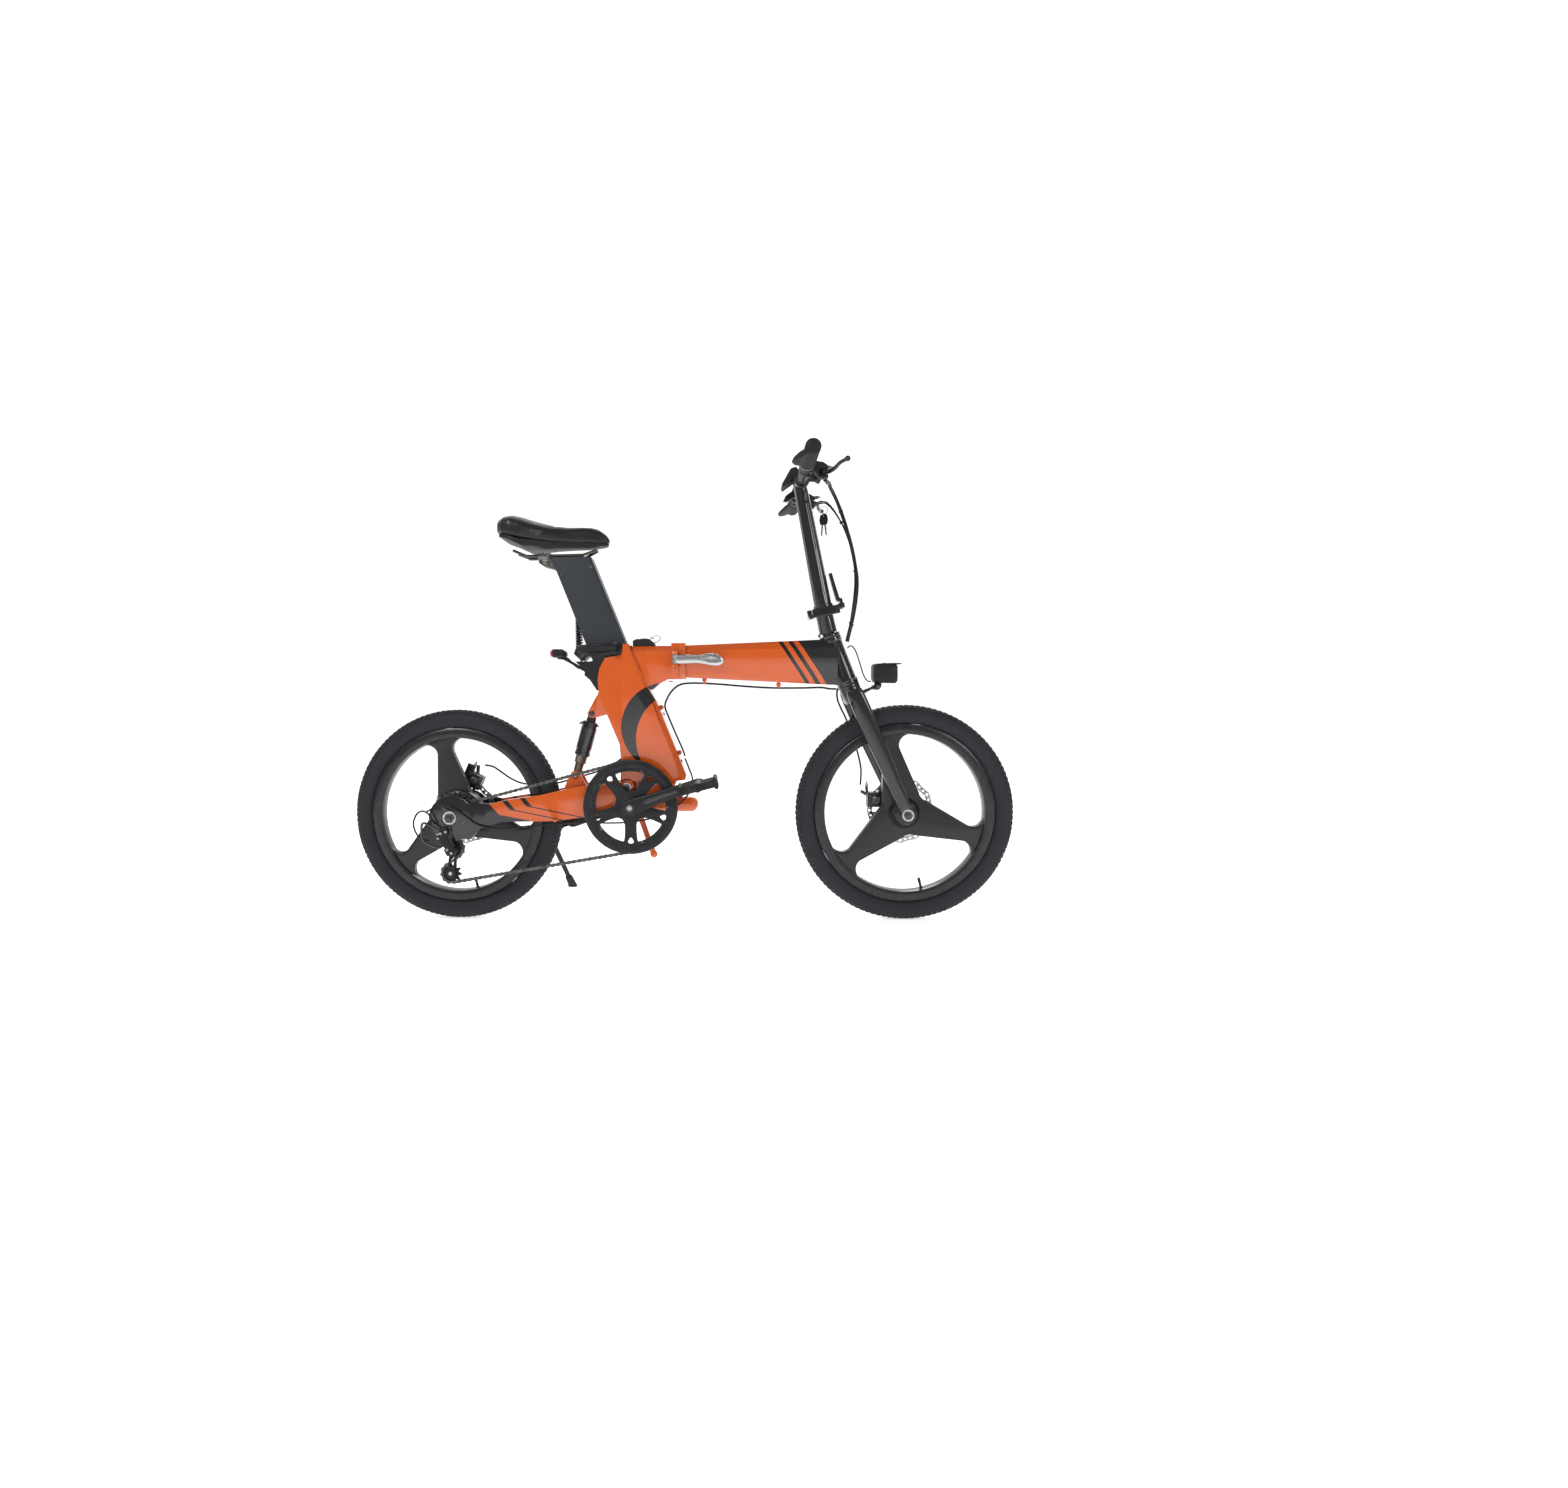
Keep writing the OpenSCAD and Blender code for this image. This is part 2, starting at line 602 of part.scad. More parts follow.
module headlight() {
    color(black) {
        side(-27, 27) polygon([[459, 566], [458, 596], [462, 603], [524, 604], [524, 600], [517, 596], [514, 559], [464, 557.5]]);
        side(-4.7, 4.7) polygon([[466, 558], [466, 548], [470, 543], [476, 543], [479, 548], [480, 558]]);
    }
    color(steel) rod_y(light_at, 3, -12, 12);
}
module caliper_body(c, y, tilt, foot) {
    // c is the middle of the pads, y the plane of the rotor, foot the side with the mounting strip
    translate([c[0], y, c[1]]) rotate([0, tilt, 0]) difference() {
        union() {
            translate([-20, -13, -17]) cube([40, 28, 34]);
            translate([-12, 15, -12]) cube([24, 6, 24]);
            translate([foot * 20 - 6, 6, -28]) cube([12, 7, 56]);
        }
        translate([-30, -2, -30]) cube([60, 4, 60]);
        translate([0, 14, 0]) rotate([-90, 0, 0]) cylinder(r = 4.1, h = 20);
    }
}
module caliper_arm(c, y, tilt, up) {
    translate([c[0], y, c[1]]) rotate([0, tilt, 0]) {
        translate([0, 15, 0]) rotate([-90, 0, 0]) cylinder(r = 4, h = 13);
        translate([0, 21.3, 0]) rotate([-90, 0, 0]) cylinder(r = 8, h = 5);
        rotate([0, up, 0]) translate([-4, 22, 0]) cube([8, 3.4, 36]);
    }
}
front_cal = [473, 279];
module front_caliper() {
    color(black) caliper_body(front_cal, 37.2, 0, 1);
}
module front_brake_arm() {
    color(black) caliper_arm(front_cal, 37.2, 0, -60);
}
fork_route = [[384, 18, 548], [381, 25, 537], [384, 34, 518], [393, 42, 498], [405, 47, 474], [418, 52, 440],
    [430, 56, 405], [439, 60, 372], [443, 61, 345], [441, 60.5, 312]];
light_route = [[402, -6, 640], [409, -12, 645], [419, -14, 634], [429, -13, 606], [438, -10, 578], [448, -7, 563],
    [456, -6, 562]];
module fork_cables() {
    color(black) cable(fork_route, 4.4, 40);
    color(black) cable(light_route, 3, 36);
}

// ---- handlepost and bar -----------------------------------------------------------------------
post_len = norm(bar_at - post_foot);
module handlepost() {
    color(black) difference() {
        union() {
            on_post() translate([-28, -24, 0.2]) cube([62, 48, 9.8]);
            on_post() translate([post_hinge, -12, -6]) rotate([-90, 0, 0]) cylinder(r = 5.8, h = 24);
            on_post() translate([post_hinge - 5.8, -12, -6]) cube([6, 24, 16]);
            on_post() translate([post_hinge - 5.8, -12, 0.2]) cube([10, 24, 9.8]);
            // ears of the latch
            on_post() both() translate([33, 12, 0.2]) cube([14, 6, 12]);
            on_post() translate([0, 0, 5]) cylinder(r1 = 20, r2 = 15, h = post_len - 10);
            rod_y(bar_at, 17, -22, 22);
        }
        on_post() translate([0, 0, -1]) cylinder(r1 = 16, r2 = 12, h = post_len - 22);
        rod_y(bar_at, bar_r + 0.1, -30, 30);
        on_post() translate([post_hinge, -30, -6]) rotate([-90, 0, 0]) cylinder(r = 3.22, h = 60);
        on_post() translate([42, -20, 6]) rotate([-90, 0, 0]) cylinder(r = 2.6, h = 40);
    }
    color(steel) on_post() translate([42, -18, 6]) rotate([-90, 0, 0]) cylinder(r = 2.5, h = 36);
}
module on_bar() {
    translate([bar_at[0], 0, bar_at[1]]) children();
}
module handlebar() {
    color(black) on_bar() difference() {
        rod_y([0, 0], bar_r, -bar_half, bar_half);
        rod_y([0, 0], bar_r - 2, -bar_half - 1, bar_half + 1);
    }
}
module grips() {
    color(rubber) on_bar() both() difference() {
        union() {
            rod_y([0, 0], 16, -bar_half - 4, -168);
            translate([-28, 0, -9]) rotate([0, 25, 0]) linear_extrude(9)
                polygon([[4, -bar_half - 2], [-6, -bar_half + 12], [-2, -bar_half + 50], [16, -190], [24, -190], [24, -bar_half - 2]]);
        }
        rod_y([0, 0], bar_r + 0.1, -bar_half, -100);
    }
}
lever_at = [332, 1012];
module bar_controls() {
    // lever holders and the gear shifter
    color(black) on_bar() both() difference() {
        union() {
            rod_y([0, 0], 16, -160, -136);
            side(-158, -138) polygon([[6, -8], [12, 8], [34, 4], [45, -4], [45, -29], [26, -29], [12, -12]]);
        }
        rod_y([0, 0], bar_r + 0.1, -170, -130);
        translate([26, -160, -22.5]) cube([40, 26, 13]);
        translate([lever_at[0] - bar_at[0], -148, -40]) cylinder(r = 2.6, h = 60);
    }
    color(steel) both() translate([lever_at[0], -148, 997]) cylinder(r = 2.55, h = 32);
    color(black) on_bar() difference() {
        union() {
            rod_y([0, 0], 15, -126, -104);
            rod([14, -115, -2], [38, -115, -16], 19);
        }
        rod_y([0, 0], bar_r + 0.1, -130, -100);
    }
}
module brake_lever() {
    // right-hand lever: a hub on the pivot and a blade along the grip, curving forward
    translate([lever_at[0], -148, 1005]) cylinder(r = 5.5, h = 12);
    translate([0, 0, 1007]) linear_extrude(9) polygon([[lever_at[0] - 3, -148], [lever_at[0] + 4, -143], [344, -150],
        [354, -172], [360, -200], [364, -228], [372, -250], [370, -256], [362, -256], [354, -232],
        [350, -202], [344, -178], [338, -160], [lever_at[0] + 2, -154]]);
}
module brake_lever_right() {
    color(black) difference() {
        brake_lever();
        translate([lever_at[0], -148, 990]) cylinder(r = 2.6, h = 60);
    }
}
module brake_lever_left() {
    color(black) mirror([0, 1, 0]) difference() {
        brake_lever();
        translate([lever_at[0], -148, 990]) cylinder(r = 2.6, h = 60);
    }
}
module display() {
    color(black) on_bar() difference() {
        union() {
            side(34, 88) polygon([[-14, 16], [-40, -2], [-43, 6], [-22, 42], [-10, 46], [2, 34], [0, 16]]);
            side(50, 66) circle(r = 15);
        }
        rod_y([0, 0], bar_r + 0.1, 0, 100);
    }
}
module throttle() {
    // thumb paddle on a ring beside the display
    color(black) on_bar() difference() {
        union() {
            rod_y([0, 0], 15, 96, 112);
            side(98, 110) polygon([[-8, 8], [-30, -8], [-36, -20], [-28, -22], [-10, -12]]);
        }
        rod_y([0, 0], bar_r + 0.4, 90, 120);
    }
}
module keys() {
    color(steel) translate([357, 76, 978]) rotate([90, 0, 0]) rotate_extrude() translate([9, 0]) circle(r = 0.9, $fn = 16);
    color(black) translate([350, 73, 936]) cube([15, 6, 33.4]);
    color(steel) translate([351, 75, 912]) cube([3.4, 2, 24.1]);
    color(steel) translate([359, 75, 915]) cube([3.4, 2, 21.1]);
}
bar_route = [[338, -130, 1000], [346, -104, 1000], [352, -76, 1004], [360, -48, 1000], [372, -22, 986], [388, 0, 958],
    [403, 12, 922], [415, 18, 880], [423, 21, 838], [426, 21, 800], [424, 20, 764], [419, 17, 730], [413, 13, 700],
    [407, 9, 674], [403, 7, 656]];
bar_route_left = [[338, 130, 1000], [346, 112, 1002], [356, 92, 1000], [366, 74, 992], [382, 54, 966], [401, 40, 926],
    [416, 33, 882], [426, 31, 838], [430, 30, 800], [428, 29, 764], [423, 26, 730], [417, 22, 700],
    [411, 18, 674], [407, 16.5, 656]];
module bar_cables() {
    color(black) cable(bar_route, 10, 40);
    color(black) cable(bar_route_left, 8, 40);
}
module post_lever() {
    color(black) on_post() {
        difference() {
            translate([38.4, -11, 2]) cube([7, 22, 22]);
            translate([42, -20, 6]) rotate([-90, 0, 0]) cylinder(r = 2.6, h = 40);
        }
        translate([31, -9, 20.5]) rotate([0, -5, 0]) cube([8, 18, 65]);
        translate([33, -10, 17]) cube([8, 20, 8.5]);
    }
}

// ---- rear suspension ------------------------------------------------------------------------------
module stay_plan() {
    polygon([[-100, 20.4], [-100, 38], [-150, 38], [-200, 44], [-340, 46], [-404, 50], [-474, half_old_r + 8],
        [-600, half_old_r + 8], [-600, half_old_r], [-470, half_old_r], [-400, 38], [-340, 32], [-150, 30], [-145, 20.4]]);
}
stay_outline = concat([[-102, 312], [-101, 326], [-108, 336], [-121, 336.5], [-134, 331], [-178, 326], [-213, 325], [-262, 316],
    [-320, 303], [-400, 292], [-440, 284], [-478, 290]],
    arc([rear_x + 4, axle_z - 2], 54, 40, 300, 18), [[-482, 203], [-462, 226], [-416, 240], [-320, 240], [-288, 241],
    [-214, 250], [-160, 256], [-140, 296], [-118, 304]]);
module swingarm() {
    color(orange) difference() {
        union() {
            intersection() {
                side(-90, 90) polygon(stay_outline);
                translate([0, 0, 100]) linear_extrude(400) union() {
                    stay_plan();
                    mirror([0, 1]) stay_plan();
                }
            }
            // box that joins the stays in front of the tyre
            side(-32, 32) polygon([[-268, 314], [-222, 322], [-172, 322], [-150, 300], [-150, 262], [-214, 254], [-262, 258]]);
            // hump that carries the shock
            both() side(13, 20) polygon([[-272, 312], [-258, 344], [-250, 356], [-238, 357], [-230, 348], [-214, 318]]);
            // plates for the calliper and the kickstand
            side(58.5, 66) polygon([[-552, 284], [-550, 316], [-525, 372], [-512, 367], [-535, 318], [-534, 284]]);
            side(58.5, half_old_r + 4) polygon([[-548, 284], [-546, 300], [-530, 302], [-530, 284]]);
            translate([-356, 44, 228]) cube([20, 7.7, 20]);
            rod(stand_at - 9 * stand_axis, stand_at + 12.6 * stand_axis, 2.95);
            // cable stop
            side(-50, -45) translate([-288, 244]) circle(r = 5);
        }
        rod_y(swing_at, 6.1, -50, 50);
        rod_y(swing_at, 10.4, -60, -38.4);
        rod_y(swing_at, 10.4, 38.4, 60);
        rod_y([rear_x, axle_z], 6.7, -100, 100);
        rod_y(shock_low, 4.6, -30, 30);
    }
}
module shock_eye(z, r) {
    translate([0, -12.3, z]) rotate([-90, 0, 0]) cylinder(r = r, h = 24.6);
}
module shock_body() {
    color(black) on_shock() difference() {
        union() {
            shock_eye(0, 11);
            translate([0, 0, -22]) cylinder(r = 12, h = 18);
            translate([0, 0, -104]) cylinder(r = 19, h = 84);
        }
        translate([0, -30, 0]) rotate([-90, 0, 0]) cylinder(r = 4.06, h = 60);
        translate([0, 0, -110]) cylinder(r = 14.2, h = 78);
    }
}
module shock_shaft() {
    eye_z = -norm(shock_top - shock_low);
    color([0.45, 0.4, 0.34]) on_shock() difference() {
        union() {
            translate([0, 0, eye_z + 30]) cylinder(r = 14, h = 60);
            translate([0, 0, eye_z + 5]) cylinder(r1 = 9.5, r2 = 10.5, h = 26);
            shock_eye(eye_z, 9.5);
        }
        translate([0, -30, eye_z]) rotate([-90, 0, 0]) cylinder(r = 4.1, h = 60);
    }
    // lower bolt, loose in the lugs of the swingarm
    color(steel) rod_y(shock_low, 4, -22, 22);
}
rear_cal = [-506, 330];
module rear_caliper() {
    color(black) caliper_body(rear_cal, 45.2, 25, -1);
}
module rear_brake_arm() {
    color(black) caliper_arm(rear_cal, 45.2, 25, -20);
}
rear_brake_route = [[-486, 69, 366], [-466, 69, 362], [-446, 66, 350], [-420, 58, 334], [-390, 52, 322], [-350, 50, 318],
    [-300, 50, 322], [-250, 49, 336], [-200, 46, 350], [-160, 44, 368], [-120, 41, 396], [-80, 41, 430]];
shift_route = [[-564, -86, 240], [-576, -87, 262], [-590, -87, 271], [-605, -87, 265], [-614, -87, 244],
    [-610, -86, 222], [-598, -84, 206], [-578, -82, 200]];
shift_route_front = [[-586, -79, 268], [-566, -79.5, 278], [-540, -79.5, 281], [-516, -79.5, 274], [-492, -79.5, 258],
    [-468, -78, 240], [-436, -70, 228], [-400, -58, 226], [-350, -50.5, 230], [-288, -48.8, 234], [-220, -47, 238],
    [-160, -46, 236], [-110, -45, 238], [-60, -40, 246], [-20, -32, 262], [20, -24, 292], [36, -8, 330], [26, 0, 364],
    [18, 0, 384]];
module swing_cables() {
    color(black) {
        cable(rear_brake_route, 4.4, 30, [0, 0, 1]);
        cable(shift_route, 4, 18);
        cable(shift_route_front, 4, 48);
    }
}
module kickstand() {
    foot = [-291, 176, 42];
    color(black) {
        difference() {
            union() {
                rod(stand_at, stand_at + 12 * stand_axis, 10);
                rod(stand_at + [2, 6, -4], foot, 7, 6);
            }
            rod(stand_at - 3 * stand_axis, stand_at + 15 * stand_axis, 3);
        }
        translate(foot) sphere(r = 9);
        translate(foot + [-10, -9, -6]) cube([22, 18, 8]);
    }
}

// ---- drive --------------------------------------------------------------------------------------
// the chain runs round four toothed circles: [centre, pitch radius, turn]
guide_r = cog_r;
circles = [[crank_at, ring_r, -1], [tension_at, guide_r, -1], [guide_at, guide_r, 1], [[rear_x, axle_z], cog_r, -1]];
function leave(i) =
    let (a = circles[i], b = circles[(i + 1) % 4], v = b[0] - a[0])
    atan2(v[1], v[0]) + asin((a[2] * a[1] - b[2] * b[1]) / norm(v));
function chain_loop(grow) = [for (i = [0:3])
    let (c = circles[i], r = c[1] - c[2] * grow, from = leave((i + 3) % 4) - 90 * c[2], to = leave(i) - 90 * c[2],
         turn = c[2] < 0 ? -(((from - to) % 360 + 360) % 360) : ((to - from) % 360 + 360) % 360)
    for (p = arc(c[0], r, from, from + turn, 24)) p];
module chain() {
    color(steel) for (y = [-3.2, 2]) side(chain_y + y, chain_y + y + 1.2) difference() {
        polygon(chain_loop(plate_h));
        polygon(chain_loop(-plate_h));
    }
}
module freewheel() {
    cogs = [11, 13, 15, 18, 21, 24, 28];
    color(steel) at_rear() difference() {
        union() {
            for (i = [0:6]) let (r = chain_pitch / 2 / sin(180 / cogs[i]))
                side(chain_y + 4.9 * i - 1.1, chain_y + 4.9 * i + 1.1) teeth(cogs[i], r + 2.4, r - 3.6);
            rod_y([0, 0], 17, chain_y - 2, -23);
        }
        rod_y([0, 0], 8, chain_y - 3, -22);
    }
}
module pulley(c) {
    color(black) difference() {
        side(chain_y - 1.1, chain_y + 1.1) translate(c) teeth(11, guide_r + 2.2, guide_r - 3.4);
        rod_y(c, 3.1, chain_y - 3, chain_y + 3);
    }
}
module guide_pulley() {
    pulley(guide_at);
}
module tension_pulley() {
    pulley(tension_at);
}
module derailleur() {
    color(black) {
        // cage plates either side of the chain
        for (y = [chain_y - 7, chain_y + 4.6]) side(y, y + 2) hull() {
            translate(guide_at) circle(r = 13, $fn = 32);
            translate(tension_at) circle(r = 13, $fn = 32);
        }
        for (c = [guide_at, tension_at]) rod_y(c, 3, chain_y - 6, chain_y + 5);
        // pivot arm, body and hanger outside the dropout
        side(-92, -78.5) polygon([[-552, 236], [-534, 232], [-514, 206], [-508, 178], [-520, 160], [-546, 166],
            [-560, 190], [-572, 214]]);
        rod_y(guide_at, 12, -79, chain_y - 6);
        side(-79, -half_old_r - 8.2) polygon([[-548, 236], [-550, 208], [-528, 204], [-530, 232]]);
        // guard hoop
        for (p = [[-590, -96, 244], [-592, -96, 208]]) translate(p) sphere(r = 3.6);
        rod([-590, -96, 244], [-592, -96, 208], 3);
        rod([-592, -96, 208], [-554, -87, 184], 3);
        rod([-590, -96, 244], [-546, -85, 222], 3);
    }
}
arm_windows = 5;
module chainring() {
    inner = 89;
    color(black) translate([crank_at[0], 0, crank_at[1]]) difference() {
        union() {
            side(chain_y - 7.4, chain_y - 4.4) difference() {
                circle(r = 111, $fn = 96);
                circle(r = inner, $fn = 96);
            }
            side(chain_y - 4.4, chain_y - 1.1) difference() {
                circle(r = 98, $fn = 96);
                circle(r = inner, $fn = 96);
            }
            side(chain_y - 1.1, chain_y + 1.1) difference() {
                teeth(ring_teeth, ring_r + 2.6, ring_r - 3.8);
                circle(r = inner, $fn = 96);
            }
            side(chain_y - 7.4, chain_y - 2) for (k = [0:arm_windows - 1]) rotate(270 + 72 * k) {
                polygon([[12, -13], [52, -8], [70, -12], [90, -25], [91, -14], [76, -4], [76, 4], [91, 14], [90, 25],
                    [70, 12], [52, 8], [12, 13]]);
            }
            side(chain_y - 7.4, chain_y + 2) circle(r = 24);
        }
        rod_y([0, 0], 9, -100, 0);
    }
}
function on_crank(a, r) = crank_at + r * [cos(a), sin(a)];
module crank_arm(a) {
    side(-80, -66) difference() {
        hull() {
            translate(crank_at) circle(r = 18, $fn = 32);
            translate(on_crank(a, crank_l)) circle(r = 12, $fn = 32);
        }
        translate(crank_at) circle(r = 8.7);
    }
    rod_y(on_crank(a, crank_l), 4.5, -168, -79.9);
    rod_y(on_crank(a, crank_l), 7, -88, -79.9);
}
module crank_arms() {
    color(black) crank_arm(crank_angle);
    color(black) mirror([0, 1, 0]) crank_arm(crank_angle + 180);
    color(steel) rod_y(crank_at, 8.5, -78, 78);
}
module pedal(a) {
    c = on_crank(a, crank_l);
    translate([c[0], 0, c[1]]) rotate([0, -14, 0]) difference() {
        union() {
            rod_y([0, 0], 11, -180, -92);
            for (x = [-46, 34]) translate([x, -180, -13]) cube([12, 88, 26]);
            for (y = [-180, -141, -104]) translate([-46, y, -11]) cube([92, 10, 22]);
        }
        rod_y([0, 0], 4.55, -170, -90);
    }
}
module pedal_right() {
    color(black) pedal(crank_angle);
}
module pedal_left() {
    color(black) mirror([0, 1, 0]) pedal(crank_angle + 180);
}

rear_frame();
battery_socket();
seat_collar();
battery_lock();
tail_light();
hinge_pins();
bracket_bearings();
motor_controller();
seat_lever();
battery_case();
battery_cells();
saddle_clamp();
saddle_shell();
saddle_cushion();
coil_cable();
front_frame();
headset();
frame_cable();
frame_lever();
fork();
stem_base();
front_axle();
front_caliper();
fork_cables();
headlight();
front_brake_arm();
front_tyre();
front_rim();
front_rotor();
handlepost();
handlebar();
grips();
bar_controls();
display();
keys();
bar_cables();
post_lever();
brake_lever_right();
brake_lever_left();
throttle();
rear_tyre();
rear_rim();
rear_rotor();
swingarm();
rear_axle();
rear_caliper();
derailleur();
swing_cables();
chain();
rear_brake_arm();
freewheel();
guide_pulley();
tension_pulley();
chainring();
crank_arms();
pedal_right();
pedal_left();
kickstand();
shock_body();
shock_shaft();
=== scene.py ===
"""Folding electric bicycle: the visual model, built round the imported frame.

Lengths in the tables below are millimetres, in the frame's own axes: +X forward, +Y left, +Z up.
"""

import math
import random

import bmesh
import bpy
from mathutils import Matrix, Vector


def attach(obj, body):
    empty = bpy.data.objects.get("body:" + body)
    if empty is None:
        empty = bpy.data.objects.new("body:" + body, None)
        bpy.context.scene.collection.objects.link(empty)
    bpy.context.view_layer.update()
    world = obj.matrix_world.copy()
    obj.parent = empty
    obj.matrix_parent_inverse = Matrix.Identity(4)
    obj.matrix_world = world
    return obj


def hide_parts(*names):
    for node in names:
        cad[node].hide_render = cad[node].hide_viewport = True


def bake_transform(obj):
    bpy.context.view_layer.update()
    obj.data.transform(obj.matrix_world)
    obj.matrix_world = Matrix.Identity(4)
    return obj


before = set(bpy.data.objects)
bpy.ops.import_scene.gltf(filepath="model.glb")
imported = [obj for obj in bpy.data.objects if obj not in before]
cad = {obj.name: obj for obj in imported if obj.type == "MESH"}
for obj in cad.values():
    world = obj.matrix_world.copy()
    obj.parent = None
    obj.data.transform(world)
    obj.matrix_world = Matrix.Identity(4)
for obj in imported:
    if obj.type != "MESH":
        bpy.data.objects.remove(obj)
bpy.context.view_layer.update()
scene = bpy.context.scene
MM = 0.001
random.seed(11)

# ---- places shared with the frame
FRONT_HUB = (532, 253)
REAR_HUB = (-532, 253)
CRANK = (-107, 276)
GUIDE = (-529, 178)
TENSION = (-537, 119.3)
CHAIN_Y = -56
HEAD_FOOT, HEAD_LEAN = Vector((405, 0, 554)), 21
POST_FOOT, POST_LEAN = Vector((349, 0, 725)), 10.5
SEAT_REF, SEAT_LEAN = Vector((-180.3, 0, 700)), 21.3
BAR = (297, 1027)
SHOCK_TOP, SHOCK_LOW = Vector((-201, 0, 493)), Vector((-243, 0, 346))


# ---- camera, light and floor
CAMERA_PLACE = (0.1265, -2.0545, 0.5292)
CAMERA_TURN = (-3.36, 2.74, 0.66)  # yaw, pitch and roll in degrees
CAMERA_LENS = 19.84
CAMERA_SHIFT = (0.0666, -0.0033)
SKY_STRENGTH = 0.22
PAPER_GLOW = 0.62


def aim_camera():
    """A level view of the right side, with a slight turn."""
    yaw, pitch, roll = (math.radians(angle) for angle in CAMERA_TURN)
    forward = Vector((math.sin(yaw) * math.cos(pitch), math.cos(yaw) * math.cos(pitch), -math.sin(pitch)))
    level = Vector((math.cos(yaw), -math.sin(yaw), 0))
    down = forward.cross(level)
    right = level * math.cos(roll) + down * math.sin(roll)
    up = level * math.sin(roll) - down * math.cos(roll)
    data = bpy.data.cameras.new("camera")
    data.sensor_width, data.lens = 36, CAMERA_LENS
    data.shift_x, data.shift_y = CAMERA_SHIFT
    camera = bpy.data.objects.new("camera", data)
    turn = Matrix((right, up, -forward)).transposed().to_4x4()
    camera.matrix_world = Matrix.Translation(CAMERA_PLACE) @ turn
    scene.collection.objects.link(camera)
    scene.camera = camera


def soft_light(name, place, target, size, power):
    data = bpy.data.lights.new(name, "AREA")
    data.shape, data.size, data.energy = "DISK", size, power
    lamp = bpy.data.objects.new(name, data)
    lamp.location = place
    lamp.rotation_euler = (Vector(target) - Vector(place)).to_track_quat("-Z", "Y").to_euler()
    scene.collection.objects.link(lamp)


def studio():
    """A dim sky, soft lamps, and a bright paper sweep behind and below."""
    world = bpy.data.worlds.new("studio")
    world.use_nodes = True
    background = world.node_tree.nodes["Background"]
    background.inputs["Color"].default_value = (0.98, 0.985, 1.0, 1)
    background.inputs["Strength"].default_value = SKY_STRENGTH
    scene.world = world
    scene.view_settings.view_transform = "Standard"
    soft_light("key", (-1.8, -2.8, 3.2), (0, 0, 0.5), 1.4, 70)
    soft_light("fill", (2.8, -2.6, 1.8), (0, 0, 0.5), 1.2, 26)
    soft_light("rim", (0.6, 2.4, 2.6), (0, 0, 0.6), 1.6, 40)
    bm = bmesh.new()
    rows = [[bm.verts.new((x, y, z)) for x in (-16, 16)]
        for y, z in [(-14, 0), (3, 0)] + [(3 + 3 * math.sin(math.radians(a)),
        3 - 3 * math.cos(math.radians(a))) for a in range(10, 91, 10)] + [(6, 16)]]
    for low, high in zip(rows, rows[1:]):
        bm.faces.new((low[0], low[1], high[1], high[0]))
    sweep = new_object("sweep", mesh_of(bm, "sweep"))
    paper = finish("sweep_paper", (0.9, 0.9, 0.9), rough=0.9, grain=(60, 0.0002), Emission_Color=(1, 1, 1, 1),
        Emission_Strength=PAPER_GLOW)
    sweep.data.materials.append(paper)


# ---- mesh helpers
def mesh_of(bm, name):
    mesh = bpy.data.meshes.new(name)
    bm.to_mesh(mesh)
    bm.free()
    return mesh


def new_object(name, mesh):
    obj = bpy.data.objects.new(name, mesh)
    scene.collection.objects.link(obj)
    return obj


def baked(obj, name=None):
    """The object with its modifiers, or a curve, as one plain mesh under its own name."""
    name = name or obj.name
    mesh = bpy.data.meshes.new_from_object(obj.evaluated_get(bpy.context.evaluated_depsgraph_get()))
    place = obj.matrix_world.copy()
    data = obj.data
    bpy.data.objects.remove(obj)
    if data.users == 0:
        (bpy.data.meshes if isinstance(data, bpy.types.Mesh) else bpy.data.curves).remove(data)
    mesh.transform(place)
    mesh.name = name
    return new_object(name, mesh)


def join(name, parts):
    """Several meshes as one piece, keeping their materials."""
    bm = bmesh.new()
    slots = []
    for part in parts:
        first = len(slots)
        slots += list(part.data.materials) or [None]
        start = len(bm.faces)
        bm.from_mesh(part.data)
        bm.faces.ensure_lookup_table()
        for face in bm.faces[start:]:
            face.material_index += first
        bpy.data.objects.remove(part)
    obj = new_object(name, mesh_of(bm, name))
    unique = []
    for material in slots:
        if material not in unique:
            unique.append(material)
    index = [unique.index(material) for material in slots]
    for polygon in obj.data.polygons:
        polygon.material_index = index[polygon.material_index]
    for material in unique:
        obj.data.materials.append(material)
    return obj


def dress(obj, *materials):
    for material in materials:
        obj.data.materials.append(material)
    return obj


def place_on(obj, body, slot, *nodes, sharp=32):
    """Shading, body and replaced nodes of a finished piece; the slot argument is not used."""
    obj.data.polygons.foreach_set("use_smooth", [True] * len(obj.data.polygons))
    obj.data.set_sharp_from_angle(angle=math.radians(sharp))
    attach(obj, body)
    if nodes:
        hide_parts(*nodes)
    return obj


def flexing(obj, node):
    """A cable or chain in place of its node: the node is hidden and the piece's transform is baked into its
    mesh.
    """
    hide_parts(node)
    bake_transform(obj)


